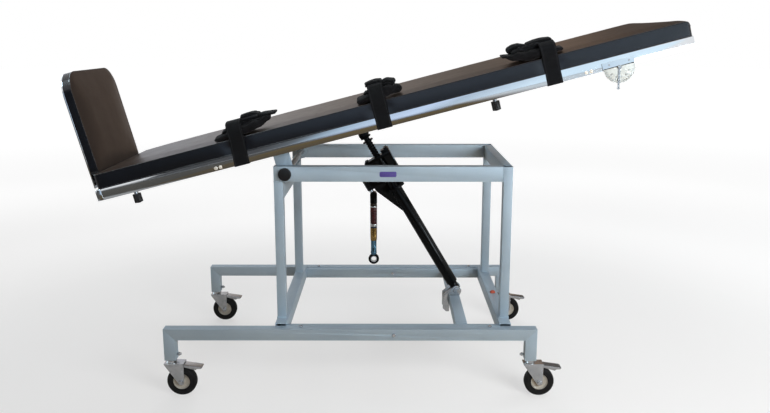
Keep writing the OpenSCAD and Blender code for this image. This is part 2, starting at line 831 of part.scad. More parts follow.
module table_cross_tubes() {
    color("gray") in_table() for (u = tube_us)
        translate([u - cross_w / 2, -deck_half, -rail_bottom])
            pipe([cross_w, 2 * deck_half, cross_tube_h], side_wall, 1);
}

lug_y = box_inner - spacer_t - seat_gap;

module pivot_lugs() {
    color("lightslategray") in_table() both_sides() difference() {
        translate([pivot_u, lug_y - lug_t / 2, 0]) rotate([90, 0, 0])
            linear_extrude(lug_t, center = true) hull() {
                translate([0, -pivot_drop]) circle(lug_w / 2, $fn = hull_fn);
                translate([-lug_w / 2, -rail_bottom - deck_t]) square([lug_w, deck_t]);
            }
        translate([pivot_u, lug_y, -pivot_drop]) rod_y(axle_d / 2 + run_gap, 2 * lug_t);
    }
}

bracket_y = ram_eye_w / 2 + 2 * seat_gap;
bracket_end_r = jack_eye_d / 2 + ear_t / 3;

// Two ears hang from two cross tubes and hold the ram's eye between them
module ram_bracket() {
    color("dimgray") in_table() {
        both_sides() difference() {
            translate([ram_pin_u, bracket_y + bracket_t / 2, 0]) rotate([90, 0, 0])
                linear_extrude(bracket_t, center = true) {
                    hull() {
                        translate([0, -ram_pin_drop]) circle(bracket_end_r, $fn = hull_fn);
                        translate([-bracket_end_r, -rail_bottom - bracket_t]) square([2 * bracket_end_r, bracket_t]);
                    }
                    translate([-bracket_len / 2, -rail_bottom - bracket_t]) square([bracket_len, bracket_t]);
                }
            translate([ram_pin_u, bracket_y, -ram_pin_drop]) rod_y(bolt_d / 2 + run_gap, 2 * bracket_t);
        }
        both_sides() translate([ram_pin_u, bracket_y + bracket_t, -ram_pin_drop]) rotate([-90, 0, 0]) {
            bolt_head();
            translate([0, 0, -bracket_t]) cylinder(d = bolt_d, h = bracket_t, $fn = round_fn);
        }
    }
}

screw_pair = 16;
foot_screw_u = 390;
screw_head_t = 1.5;
screw_us = [foot_screw_u, foot_screw_u + screw_pair, dial_u - dial_strip_len, dial_u - dial_strip_len + screw_pair];

module rail_screws() {
    color("white") in_table() both_sides() for (u = screw_us)
        translate([u, side_face, -mattress_t - side_h * 3 / 4]) rotate([-90, 0, 0])
            cylinder(d1 = screw_head_d, d2 = screw_head_d / 2, h = screw_head_t, $fn = round_fn);
}

strap_gap = 0.3;
pad_y_share = 0.4;

// Each strap is a closed loop of webbing round the table, with a folded pad on its near side
module straps() {
    top = mattress_crown + strap_gap;
    half = side_face + strap_gap;
    low = rail_bottom + strap_gap;
    color("black") in_table() for (u = strap_us) {
        translate([u - strap_w / 2, 0, 0]) difference() {
            translate([0, -half - strap_t, -low - strap_t])
                cube([strap_w, 2 * (half + strap_t), top + low + 2 * strap_t]);
            translate([-over, -half, -low]) cube([strap_w + 2 * over, 2 * half, top + low]);
        }
        translate([u, -table_w * pad_y_share, top + strap_t + strap_gap])
            cushion(strap_pad_len, strap_pad_w, strap_pad_h, strap_t, foot_corner_r, foot_corner_r, 0, 6, 4);
    }
}

module strap_buckles() {
    color("dimgray") in_table() for (u = strap_us)
        translate([u - buckle_len / 2, -table_w * pad_y_share - buckle_w / 2,
                   mattress_crown + 2 * strap_gap + 2 * strap_t + strap_pad_h + seat_gap])
            rounded_plate([buckle_len, buckle_w, buckle_h], foot_corner_r / 2);
}

// Tilt gauge: a strip on the near rail, a half-round dial below it, a pointer in front
dial_face = side_face + dial_strip_t;
pointer_t = 2;

module angle_dial() {
    color("whitesmoke") in_table() difference() {
        union() {
            translate([dial_u - dial_strip_len / 2, -dial_face, -rail_bottom])
                cube([dial_strip_len, dial_strip_t, dial_strip_h]);
            translate([dial_u, -dial_face, -dial_down]) rotate([90, 0, 0]) linear_extrude(dial_t)
                intersection() {
                    circle(dial_r, $fn = 2 * round_fn);
                    translate([-dial_r, -dial_r]) square([2 * dial_r, dial_r + dial_t]);
                }
        }
        translate([dial_u, -dial_face, -dial_down]) rod_y(pointer_pin_d / 2 + run_gap, 2 * dial_t);
    }
}

module dial_pointer() {
    arm_y0 = dial_face + dial_t + seat_gap;
    color("silver") translate([table_x(dial_u, dial_down), 0, table_z(dial_u, dial_down)]) {
        translate([0, -arm_y0, 0]) rotate([90, 0, 0]) linear_extrude(pointer_t) union() {
            circle(pointer_w, $fn = round_fn);
            polygon([[-pointer_w / 2, 0], [-pointer_w / 2, pointer_w - pointer_len], [-pointer_w, pointer_w - pointer_len],
                     [0, -pointer_len], [pointer_w, pointer_w - pointer_len], [pointer_w / 2, pointer_w - pointer_len],
                     [pointer_w / 2, 0]]);
        }
        translate([0, -dial_face - dial_t / 2 - seat_gap / 2, 0]) rod_y(pointer_pin_d / 2, (dial_t + seat_gap) / 2);
    }
}

// Foot board, standing square on the table at its foot end
bar_x = -bar_w - seat_gap;
prong_gap = 0.5;
plate_low = mattress_t;

// An upright outline with round top corners, from a height below the seam to the top
module foot_outline(low, high, wid, r) {
    hull() {
        for (y = [-1, 1]) translate([high - r, y * (wid / 2 - r)]) circle(r, $fn = hull_fn);
        translate([low, -wid / 2]) square([foot_top_r / 3, wid]);
    }
}

module footboard_plate() {
    color("silver") in_table() translate([-foot_setback, 0, 0]) rotate([0, -90, 0])
        linear_extrude(foot_plate_t) foot_outline(-plate_low, foot_h, foot_w, foot_top_r);
}

module footboard_pad() {
    color("black") in_table()
        translate([seat_gap - foot_setback, 0, (foot_h - foot_low) / 2]) rotate([0, -90, 0]) mirror([0, 0, 1])
            cushion(foot_h + foot_low - 2 * seat_gap, foot_w - 2 * seat_gap, foot_pad_t, foot_crown,
                    foot_corner_r, foot_top_r, seat_gap, 8, 8);
}

module footboard_bar() {
    color("silver") in_table() {
        translate([bar_x, -side_face, -rail_bottom]) cube([bar_w, table_w, side_h]);
        both_sides() translate([-foot_setback - foot_plate_t, arm_y - arm_w / 2, -plate_low - arm_t])
            cube([foot_setback + foot_plate_t + bar_x + over, arm_w, arm_t]);
    }
}

module footboard_prongs() {
    color("silver") in_table() both_sides()
        translate([bar_x + bar_w, deck_half + side_wall + prong_gap, side_wall + prong_gap - rail_bottom])
            cube([prong_len, side_w - 2 * (side_wall + prong_gap), side_h - 2 * (side_wall + prong_gap)]);
}

foot_screw_down = 40;

module footboard_screws() {
    color("black") in_table() both_sides()
        translate([-foot_setback - foot_plate_t, foot_screw_y, -foot_screw_down]) rotate([0, -90, 0]) {
            cylinder(d = foot_screw_d / 2, h = foot_screw_h / 3, $fn = round_fn);
            translate([0, 0, foot_screw_h / 3]) cylinder(d = foot_screw_d, h = foot_screw_h * 2 / 3, $fn = round_fn);
        }
}

// A clamp knob: a stud through the rail's floor, a bright neck, a grooved grip
module clamp_knob(k) {
    stud_top = k[0] < prong_len ? side_wall : 2 * side_wall;
    color("black") in_table() translate([k[0], k[1] * side_mid, -rail_bottom - seat_gap]) {
        cylinder(d = stud_d, h = stud_top + seat_gap, $fn = round_fn);
        translate([0, 0, -knob_neck_h]) cylinder(d = knob_neck_d, h = knob_neck_h, $fn = round_fn);
        translate([0, 0, -knob_neck_h - knob_h]) difference() {
            cylinder(d = knob_d, h = knob_h, $fn = round_fn);
            for (i = [0:knob_grooves - 1]) rotate([0, 0, i * 360 / knob_grooves])
                translate([knob_d / 2 + groove_r / 3, 0, -over])
                    cylinder(r = groove_r, h = knob_h + 2 * over, $fn = round_fn / 2);
        }
    }
}

// Jack

saddle_x = box_x + box_len - jack_rail_at;
ear_y = foot_eye_w / 2 + seat_gap;
back_drop = 25;
back_w = 24;

module jack_saddle() {
    ear_r = jack_eye_d / 2 + ear_t / 3;
    back_x = saddle_x - tube_s / 2;
    back_z = rail_bottom_z - back_drop;
    color("gainsboro") {
        difference() {
            union() {
                both_sides() translate([0, ear_y + ear_t / 2, 0]) rotate([90, 0, 0])
                    linear_extrude(ear_t, center = true) union() {
                        hull() {
                            translate([jack_x, jack_foot_z]) circle(ear_r, $fn = hull_fn);
                            translate([back_x - back_w, base_top]) square([tube_s + back_w, ear_t / 3]);
                        }
                        polygon([[back_x - back_w, base_top + over], [back_x, base_top + over], [back_x, back_z],
                                 [back_x - back_w / 2, back_z], [back_x - back_w, back_z + back_w / 2]]);
                    }
                translate([back_x - ear_t, -ear_y - over, back_z])
                    cube([ear_t, 2 * (ear_y + over), base_top - back_z]);
            }
            translate([jack_x, 0, jack_foot_z]) rod_y(jack_pin_d / 2 + run_gap, base_inner);
        }
        translate([jack_x, 0, jack_foot_z]) {
            rod_y(jack_pin_d / 2, ear_y + ear_t + bolt_head_h);
            both_sides() translate([0, ear_y + ear_t + run_gap + bolt_head_h / 2, 0])
                rod_y(jack_pin_d * 3 / 4, bolt_head_h / 2);
        }
    }
}

tube_start = 30;
case_low = case_top - case_h;

module rod_along(r, from, to) {
    translate([from, 0, 0]) rotate([0, 90, 0]) cylinder(r = r, h = to - from, $fn = round_fn);
}

module jack_tube() {
    color("black") in_jack() difference() {
        union() {
            rod_y(jack_eye_d / 2, foot_eye_w / 2);
            rod_along(jack_d * 3 / 8, 0, tube_start);
            rod_along(jack_d / 2, tube_start, case_top - flange_t);
        }
        rod_along(jack_d / 2 - jack_wall, tube_start + jack_wall, case_top);
        rod_y(jack_pin_d / 2 + run_gap, foot_eye_w);
    }
}

rib_t = 8;
rib_len = 116;
case_bolt_in = 9;
case_step = 12;
case_foot_t = 10;
case_foot_d = 70;
case_left = jack_d / 2 + 2 * case_bolt_in + boss_len / 4;

// Gear case round the top of the tube: a block on one side, the crank boss on the other,
// a top flange with the ram's guide bore, a foot flange, and a rib down to the tube
module gear_case() {
    r = jack_d / 2 + run_gap;
    boss_r = boss_len / 2;
    boss_mid = boss_reach - boss_r;
    boss_top = boss_at + boss_len;
    color("black") in_jack() difference() {
        union() {
            rod_along(r + jack_wall, case_low, case_top - flange_t);
            rod_along(case_foot_d / 2, case_low, case_low + case_foot_t);
            translate([case_low + case_step, -case_w / 2, -case_reach])
                cube([case_h, case_w, case_reach - ram_flange_d / 2 - run_gap - over]);
            translate([boss_at, -case_w / 2, 0]) cube([boss_len, case_w, boss_mid]);
            translate([0, 0, boss_mid]) rod_along(case_w / 2, boss_at, boss_top);
            translate([boss_top - over, -case_w / 2 + case_bolt_in, 0])
                cube([case_top - boss_top + over - flange_t / 2, case_w - 2 * case_bolt_in, case_left]);
            translate([case_top - flange_t, -case_w / 2 - case_bolt_in / 3, -case_reach])
                cube([flange_t, case_w + case_bolt_in * 2 / 3, case_reach + case_left]);
            rotate([90, 0, 0]) linear_extrude(rib_t, center = true)
                polygon([[boss_at + over, jack_d / 2 + run_gap], [boss_at + over, boss_mid],
                         [boss_at - boss_r / 2, boss_mid],
                         [boss_at - rib_len - boss_r / 2, jack_d / 2 + run_gap]]);
            for (y = [-1, 1]) {
                translate([case_top, y * (case_w / 2 - case_bolt_in), case_left - case_bolt_in])
                    rotate([0, 90, 0]) bolt_head();
                translate([case_top + case_step, y * (case_w / 2 - case_bolt_in), case_bolt_in - case_reach])
                    rotate([0, 90, 0]) bolt_head();
            }
        }
        rod_along(r, 0, case_top - flange_t);
        rod_along(ram_d / 2 + run_gap, case_low, case_top + over);
        translate([0, 0, crank_off]) rod_along(stub_d / 2 + run_gap, boss_at - over, boss_at + boss_r);
    }
}

// The ram: a tube in the jack with a guide collar at its foot, two flanges and an eye
module jack_ram() {
    flange_top = jack_reach - ram_flange_at;
    start = case_top - ram_inside;
    color("dimgray") in_jack() {
        difference() {
            union() {
                rod_along(ram_d / 2, start, flange_top);
                rod_along(jack_d / 2 - jack_wall - run_gap, start, start + ram_d / 2);
                rod_along(ram_flange_d / 2, flange_top - ram_flange_t, flange_top);
                rod_along(ram_neck_d / 2, flange_top, jack_reach);
                rod_along(ram_flange_d / 2, flange_top + ram_flange_step, flange_top + ram_flange_step + ram_flange_t);
                translate([jack_reach, 0, 0]) rod_y(jack_eye_d / 2, ram_eye_w / 2);
            }
            rod_along(ram_bore_d / 2, start - over, flange_top - ram_flange_t);
            translate([jack_reach, 0, 0]) rod_y(jack_pin_d / 2 + run_gap, ram_eye_w);
        }
        translate([jack_reach, 0, 0]) rod_y(jack_pin_d / 2, ram_eye_w / 2);
    }
}

// Crank

module crank_stub() {
    color("silver") in_jack() translate([0, 0, crank_off])
        rod_along(stub_d / 2, boss_at - stub_len, boss_at + boss_len / 3);
}

// The knuckle: a ball-ended block that swings on a cross pin under the stub
module crank_knuckle() {
    color("black") translate([knuckle_x, 0, knuckle_z]) {
        rod_y(knuckle_d / 2, knuckle_d / 2);
        translate([0, 0, -knuckle_h]) cylinder(d = knuckle_d, h = knuckle_h, $fn = round_fn);
    }
}

neck_share = 0.8;
neck_low_share = 0.85;
neck_low = eye_d / 2 * neck_low_share;

// The handle: a long grip, a neck and an eye for the winding rod
module crank_handle() {
    top = -knuckle_h - seat_gap;
    color("sienna") translate([knuckle_x, 0, knuckle_z]) difference() {
        union() {
            translate([0, 0, -handle_len + eye_d / 2 + handle_neck_h])
                cylinder(d = handle_d, h = top + handle_len - eye_d / 2 - handle_neck_h, $fn = round_fn);
            translate([0, 0, -handle_len + neck_low])
                cylinder(d = handle_d * neck_share, h = eye_d / 2 - neck_low + handle_neck_h + over, $fn = round_fn);
            translate([0, 0, -handle_len]) rod_y(eye_d / 2, eye_t / 2);
        }
        translate([0, 0, -handle_len]) rod_y(eye_bore_d / 2, eye_t);
    }
}

base_rails();
castor_legs();
cross_rails();
tie_rails();
jack_cross_rail();
frame_legs();
top_rail_near();
top_rail_far();
top_cross_head();
top_cross_foot();
frame_bolts();
jack_saddle();
tilt_axle();
axle_caps();
name_plate();
castor_stems();
hole_plug();
castor_fork(castor_at[0]);  // castor_fork_1
castor_fork(castor_at[1]);  // castor_fork_2
castor_fork(castor_at[2]);  // castor_fork_3
castor_fork(castor_at[3]);  // castor_fork_4
castor_hub(castor_at[0]);  // castor_hub_1
castor_hub(castor_at[1]);  // castor_hub_2
castor_hub(castor_at[2]);  // castor_hub_3
castor_hub(castor_at[3]);  // castor_hub_4
castor_tyre(castor_at[0]);  // castor_tyre_1
castor_tyre(castor_at[1]);  // castor_tyre_2
castor_tyre(castor_at[2]);  // castor_tyre_3
castor_tyre(castor_at[3]);  // castor_tyre_4
brake_pedal(castor_at[0]);  // brake_pedal_1
brake_pedal(castor_at[1]);  // brake_pedal_2
brake_pedal(castor_at[2]);  // brake_pedal_3
brake_pedal(castor_at[3]);  // brake_pedal_4
mattress();
deck_board();
side_rail_near();
side_rail_far();
table_cross_tubes();
pivot_lugs();
ram_bracket();
rail_screws();
straps();
strap_buckles();
angle_dial();
dial_pointer();
footboard_pad();
footboard_plate();
footboard_bar();
footboard_prongs();
footboard_screws();
clamp_knob(knob_at[0]);  // clamp_knob_1
clamp_knob(knob_at[1]);  // clamp_knob_2
clamp_knob(knob_at[2]);  // clamp_knob_3
clamp_knob(knob_at[3]);  // clamp_knob_4
jack_tube();
gear_case();
jack_ram();
crank_stub();
crank_knuckle();
crank_handle();
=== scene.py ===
"""Looks of a physiotherapy tilt table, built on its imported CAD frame."""
import json
from math import copysign, cos, pi, radians, sin, sqrt

import bmesh
import bpy
from mathutils import Matrix, Vector, noise

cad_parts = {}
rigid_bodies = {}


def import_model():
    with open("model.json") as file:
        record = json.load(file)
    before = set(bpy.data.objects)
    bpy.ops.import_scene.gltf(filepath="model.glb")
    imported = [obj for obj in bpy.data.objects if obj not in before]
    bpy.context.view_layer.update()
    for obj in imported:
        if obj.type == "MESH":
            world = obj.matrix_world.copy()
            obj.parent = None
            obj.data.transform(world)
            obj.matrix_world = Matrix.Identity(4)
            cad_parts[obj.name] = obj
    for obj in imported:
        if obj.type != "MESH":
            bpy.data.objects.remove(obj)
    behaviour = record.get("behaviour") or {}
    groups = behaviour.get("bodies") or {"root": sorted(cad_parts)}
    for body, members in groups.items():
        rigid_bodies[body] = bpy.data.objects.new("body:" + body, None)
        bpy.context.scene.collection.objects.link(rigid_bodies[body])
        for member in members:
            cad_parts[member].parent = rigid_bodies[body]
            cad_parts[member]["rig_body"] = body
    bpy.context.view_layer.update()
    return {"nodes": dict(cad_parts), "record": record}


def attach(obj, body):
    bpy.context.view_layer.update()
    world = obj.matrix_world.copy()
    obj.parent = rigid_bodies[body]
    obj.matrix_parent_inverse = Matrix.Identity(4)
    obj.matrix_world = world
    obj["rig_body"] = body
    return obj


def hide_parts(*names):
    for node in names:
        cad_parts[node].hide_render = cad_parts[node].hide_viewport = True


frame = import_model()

NODES = frame["nodes"]
SLOT = {part["node"]: part["material_slot"] for part in frame["record"]["subparts"]}
ONE = Matrix.Identity(4)


def shift(x, y, z):
    return Matrix.Translation((x, y, z))


def spin(degrees, axis):
    return Matrix.Rotation(radians(degrees), 4, axis)


# Places and sizes repeated from the part's source, in metres
PIVOT = Vector((-0.2806886, 0, 0.743))
TABLE = Matrix.Translation(PIVOT) @ spin(-14.5, "Y") @ shift(-0.601, 0, 0.155)
JACK = shift(0.3183114, 0, 0.256) @ spin(-120.525916, "Y")
JACK_REACH = 0.6809285
KNUCKLE = Vector((0.007888, 0, 0.617072))
LENGTH, WIDTH, THICK, CROWN, OVER = 1.98, 0.61, 0.05, 0.008, 0.011
RAIL_LOW, RAIL_MID = 0.087, 0.2925
KNOB_US = (0.107, 1.327)
STRAP_US = (0.477, 0.961, 1.526)
BAND_WIDTH, BAND_T, GAP = 0.05, 0.0025, 0.0003
DIAL = Vector((1.733, -0.307, -0.086))
BOX_X, BOX_LEN, BOX_HALF, TUBE, LEG = -0.3181886, 0.792, 0.291, 0.038, 0.03
BASE_X, BASE_LEN, BASE_HALF, BASE_TOP = -0.6871886, 1.244, 0.3875, 0.237


def lin(*rgb):
    """sRGB of 0 to 255 as linear values."""
    return (*(c / 255 / 12.92 if c <= 10.31 else ((c / 255 + 0.055) / 1.055) ** 2.4 for c in rgb), 1)


# ---- materials
class Nodes:
    """Short calls that build a node tree."""

    def __init__(self, tree):
        self.t = tree

    def node(self, kind, **values):
        n = self.t.nodes.new("ShaderNode" + kind)
        for key, value in values.items():
            setattr(n, key, value)
        return n

    def link(self, a, b):
        self.t.links.new(a, b)

    def feed(self, n, **values):
        """Links sockets to, or sets values on, a node's inputs i0, i1 and so on."""
        for key, value in values.items():
            socket = n.inputs[int(key[1:])]
            if hasattr(value, "node"):
                self.link(value, socket)
            else:
                socket.default_value = value
        return n

    def place(self, scale=(1, 1, 1), uv=False):
        c = self.node("TexCoord")
        p = self.node("Mapping")
        p.inputs["Scale"].default_value = scale
        self.link(c.outputs["UV" if uv else "Object"], p.inputs["Vector"])
        return p.outputs["Vector"]

    def noise(self, scale, detail=3.0, rough=0.55, stretch=(1, 1, 1)):
        n = self.node("TexNoise")
        n.inputs["Scale"].default_value = scale
        n.inputs["Detail"].default_value = detail
        n.inputs["Roughness"].default_value = rough
        self.link(self.place(stretch), n.inputs["Vector"])
        return n.outputs["Fac"]

    def cells(self, scale, feature="F1", out="Distance"):
        n = self.node("TexVoronoi", feature=feature)
        n.inputs["Scale"].default_value = scale
        self.link(self.place(), n.inputs["Vector"])
        return n.outputs[out]

    def waves(self, scale, axis="X", uv=False, stretch=(1, 1, 1), distortion=0):
        n = self.node("TexWave", wave_type="BANDS", bands_direction=axis)
        n.inputs["Scale"].default_value = scale
        n.inputs["Distortion"].default_value = distortion
        n.inputs["Detail Scale"].default_value = 2.0
        self.link(self.place(stretch, uv), n.inputs["Vector"])
        return n.outputs["Fac"]

    def ramp(self, fac, *stops, ease=False):
        n = self.node("ValToRGB")
        if ease:
            n.color_ramp.interpolation = "EASE"
        e = n.color_ramp.elements
        while len(e) < len(stops):
            e.new(0.5)
        for slot, (at, value) in zip(e, stops):
            slot.position = at
            slot.color = value
        self.link(fac, n.inputs["Fac"])
        return n.outputs["Color"]

    def mix(self, fac, a, b):
        return self.feed(self.node("Mix", data_type="RGBA"), i0=fac, i6=a, i7=b).outputs[2]

    def math(self, op, a, b, c=0.5):
        return self.feed(self.node("Math", operation=op), i0=a, i1=b, i2=c).outputs[0]

    def span(self, fac, low, high, out_low=0, out_high=1):
        n = self.node("MapRange")
        return self.feed(n, i0=fac, i1=low, i2=high, i3=out_low, i4=out_high).outputs[0]

    def split(self, vector, name):
        return self.feed(self.node("SeparateXYZ"), i0=vector).outputs[name]

    def rays(self, *kinds):
        """1 for a ray of one of these kinds."""
        path = self.node("LightPath")
        seen = 0
        for kind in kinds:
            seen = self.math("MAXIMUM", seen, path.outputs[f"Is {kind} Ray"])
        return seen


M = {}


class Mat(Nodes):
    """A Principled material."""

    def __init__(self, name, color, rough, metal=0, **sockets):
        self.m = M[name] = bpy.data.materials.new(name)
        self.m.use_nodes = True
        super().__init__(self.m.node_tree)
        self.b = self.t.nodes["Principled BSDF"]
        self.b.inputs["Base Color"].default_value = color
        self.b.inputs["Roughness"].default_value = rough
        self.b.inputs["Metallic"].default_value = metal
        for key, value in sockets.items():
            self.b.inputs[key.replace("_", " ")].default_value = value
        self.m.diffuse_color = color
        self.height = None

    def color(self, socket):
        self.link(socket, self.b.inputs["Base Color"])

    def rough(self, fac, low, high):
        self.link(self.span(fac, 0.25, 0.75, low, high), self.b.inputs["Roughness"])

    def bump(self, height, distance, strength=1):
        n = self.node("Bump")
        n.inputs["Distance"].default_value = distance
        n.inputs["Strength"].default_value = strength
        self.link(height, n.inputs["Height"])
        if self.height is not None:
            self.link(self.height, n.inputs["Normal"])
        self.height = n.outputs["Normal"]
        self.link(self.height, self.b.inputs["Normal"])

    def surface(self, shader):
        """Puts another shader in place."""
        self.t.nodes.remove(self.b)
        out = next(n for n in self.t.nodes if n.type == "OUTPUT_MATERIAL")
        self.link(shader, out.inputs["Surface"])


def frame_paint():
    a = Mat("frame_paint", lin(154, 174, 190), 0.42, 0.15, Coat_Weight=0.1, Coat_Roughness=0.3)
    base = a.ramp(a.noise(5, 4), (0.3, lin(147, 167, 183)), (0.7, lin(160, 180, 195)))
    a.color(a.mix(a.span(a.noise(1500, 1), 0.55, 0.8, 0, 0.35), base, lin(192, 206, 217)))
    a.rough(a.noise(40, 4), 0.38, 0.54)
    a.bump(a.noise(420, 2), 0.00012)


def zinc():
    """Plating with a faint spangle."""
    a = Mat("zinc", lin(178.6, 179.54, 180.48), 0.24, 0.9)
    grey = a.node("RGBToBW")
    a.link(a.cells(90, out="Color"), grey.inputs[0])
    a.color(a.ramp(grey.outputs[0], (0.2, lin(180.48, 182.36, 184.24)),
                   (0.8, lin(195.52, 196.46, 197.4))))
    a.rough(a.noise(30, 4), 0.12, 0.22)
    a.bump(a.noise(600, 3), 0.00004)


def steel():
    a = Mat("axle_steel", lin(175, 176, 178), 0.3, 0.95)
    a.color(a.ramp(a.noise(30, 4), (0.3, lin(150, 151, 153)), (0.7, lin(196, 197, 200))))
    a.rough(a.noise(300, 3, stretch=(1, 12, 1)), 0.2, 0.42)
    a.bump(a.noise(900, 2, stretch=(1, 10, 1)), 0.00005)


def chrome():
    a = Mat("chrome", lin(214, 219, 224), 0.1, 1)
    a.color(a.ramp(a.noise(3, 5), (0.3, lin(206, 211, 217)), (0.7, lin(226, 229, 232))))
    a.rough(a.noise(18, 5), 0.05, 0.13)
    a.bump(a.noise(30, 2, stretch=(0.04, 1, 1)), 0.0003, 0.4)
    a.bump(a.noise(500, 2), 0.00001, 0.3)


def black_paint():
    a = Mat("jack_black", lin(7, 8, 9), 0.16, 0, Specular_IOR_Level=0.12)
    a.color(a.ramp(a.noise(70, 6, 0.7), (0.35, lin(5, 6, 7)), (0.72, lin(9, 10, 12)),
                   (0.84, lin(30, 30, 32))))
    a.rough(a.noise(30, 4), 0.1, 0.18)
    a.bump(a.noise(180, 2), 0.00012)


def shade(color, gain, lift=0):
    return tuple(min(1, c * gain + lift) for c in color[:3]) + (1,)


def plastic(name, color, rough=0.42):
    a = Mat(name, color, rough, Specular_IOR_Level=0.3)
    a.color(a.ramp(a.noise(25, 4), (0.3, shade(color, 0.82)), (0.7, shade(color, 1.25, 0.002))))
    a.rough(a.noise(60, 3), rough - 0.08, rough + 0.1)
    a.bump(a.noise(900, 2), 0.00006)


def rubber():
    a = Mat("tyre", lin(16, 16, 17), 0.7, Specular_IOR_Level=0.2)
    a.color(a.ramp(a.noise(60, 6, 0.7), (0.35, lin(12, 12, 13)), (0.72, lin(26, 25, 24))))
    a.rough(a.noise(45, 4), 0.55, 0.85)
    a.bump(a.noise(700, 3), 0.00012)


def leatherette():
    """A pebbled cover, glossier at its sides. Its colour is split by which way each face points, a
    brown-black top and blue-black sides, and that split is painted reflection.
    """
    a = Mat("leatherette", lin(40, 34, 31), 0.34, 0, Sheen_Weight=0.02, Sheen_Roughness=0.4,
            Specular_IOR_Level=0.5)
    a.b.inputs["Sheen Tint"].default_value = lin(196, 160, 134)
    up = a.node("VectorTransform", vector_type="NORMAL", convert_from="WORLD",
                convert_to="OBJECT")
    a.link(a.node("NewGeometry").outputs["Normal"], up.inputs[0])
    # Painted reflection: the base colour is brown-black where the surface faces up and blue-black where
    # it faces sideways.
    face = a.span(a.split(up.outputs[0], "Z"), 0.35, 0.75)
    tone = a.noise(3.2, 4)
    top = a.ramp(tone, (0.3, lin(40, 33, 29)), (0.7, lin(50, 41, 36)))
    side = a.ramp(tone, (0.3, lin(7, 11, 18)), (0.7, lin(10, 16, 27)))
    a.color(a.mix(face, side, top))
    worn = a.span(a.noise(26, 5), 0.25, 0.75, 0, 0.09)
    a.link(a.math("ADD", a.span(face, 0, 1, 0.17, 0.27), worn), a.b.inputs["Roughness"])
    a.bump(a.noise(11, 3), 0.0008, 0.5)
    a.bump(a.cells(620, feature="SMOOTH_F1"), 0.00009, 0.7)


def webbing():
    """A flat weave with stitched edges; UVs run along and across it in metres."""
    a = Mat("webbing", lin(16, 17, 19), 0.85, 0, Sheen_Weight=0.03, Sheen_Roughness=0.5,
            Specular_IOR_Level=0.12)
    weave = a.math("MULTIPLY", a.waves(52, "Y", uv=True, stretch=(1, 3.2, 1)),
                   a.waves(60, "DIAGONAL", uv=True, stretch=(4, 4, 1)))
    tone = a.ramp(weave, (0, lin(8, 9, 11)), (1, lin(27, 29, 33)))
    across = a.math("ABSOLUTE", a.split(a.place(uv=True), "Y"), 0)
    threads = a.math("GREATER_THAN", a.waves(50, "X", uv=True, stretch=(1.4, 1, 1)), 0.35)
    stitch = a.math("MULTIPLY", a.math("COMPARE", across, 0.0205, 0.0007), threads)
    cloth = a.mix(a.span(a.noise(9, 3), 0.3, 0.7, 0, 0.5), tone, lin(20, 21, 23))
    a.color(a.mix(stitch, cloth, lin(52, 53, 57)))
    a.bump(weave, 0.0005, 0.8)
    a.bump(a.noise(1600, 1), 0.0001, 0.5)


def cuff_cloth():
    a = Mat("strap_cuff", lin(16, 16, 18), 0.88, 0, Sheen_Weight=0.04, Sheen_Roughness=0.5,
            Specular_IOR_Level=0.1)
    a.color(a.ramp(a.noise(40, 5, 0.7), (0.3, lin(10, 10, 12)), (0.7, lin(25, 25, 28))))
    a.bump(a.cells(900), 0.0004, 0.8)
    a.bump(a.noise(60, 4), 0.0012, 0.5)


def board():
    a = Mat("board", lin(176, 146, 110), 0.7)
    ply = a.waves(60, "Z", distortion=1)
    grain = a.noise(14, 5, stretch=(0.15, 2, 2))
    wood = a.ramp(grain, (0.3, lin(168, 138, 100)), (0.7, lin(194, 164, 126)))
    a.color(a.mix(a.span(ply, 0.3, 0.7, 0.15, 0.6), wood, lin(120, 92, 62)))
    a.bump(grain, 0.0003, 0.6)


def band(name, dark, light, rough, metal):
    """One lacquered or plated band of the crank handle."""
    a = Mat(name, light, rough, metal, Specular_IOR_Level=0.4)
    streak = a.noise(110, 5, 0.65, stretch=(1, 1, 0.5))
    a.color(a.ramp(streak, (0.32, dark), (0.66, light)))
    a.rough(a.noise(80, 4), max(0.08, rough - 0.1), rough + 0.12)
    a.bump(a.noise(260, 3), 0.0002, 0.5)


def flat_label(name, color, rough):
    a = Mat(name, color, rough)
    a.color(a.ramp(a.noise(160, 4), (0.3, shade(color, 0.8)), (0.7, color)))
    a.rough(a.noise(90, 3), rough - 0.06, rough + 0.12)
    a.bump(a.noise(500, 2), 0.00005)


for make in (frame_paint, zinc, steel, chrome, black_paint, rubber, leatherette, webbing, cuff_cloth,
             board):
    make()
plastic("black_plastic", lin(24, 24, 26), 0.36)
plastic("hub_grey", lin(176, 175, 168), 0.4)
plastic("plug_red", lin(176, 84, 66), 0.4)
plastic("screw_caps", lin(232, 232, 226), 0.35)
plastic("dial_white", lin(204, 214, 216), 0.25)
flat_label("plate_blue", lin(84, 72, 152), 0.3)
flat_label("dial_ink", lin(70, 78, 90), 0.5)
band("handle_bands", lin(30, 12, 13), lin(66, 24, 26), 0.26, 0.1)
band("handle_bronze", lin(14, 11, 10), lin(54, 42, 31), 0.3, 0.5)
band("handle_ring", lin(176, 178, 178), lin(228, 229, 226), 0.2, 1)
band("handle_slate", lin(24, 30, 40), lin(52, 62, 78), 0.3, 0.6)
band("handle_gold", lin(96, 72, 36), lin(178, 142, 84), 0.26, 1)
band("handle_blued", lin(10, 20, 34), lin(120, 166, 192), 0.2, 1)


# ---- mesh helpers
def stand(name, data, place=ONE):
    ob = bpy.data.objects.new(name, data)
    bpy.context.scene.collection.objects.link(ob)
    ob.matrix_world = place
    return ob


def smooth(me, angle):
    me.validate()
    me.update()
    me.shade_smooth()
    me.set_sharp_from_angle(angle=radians(angle))


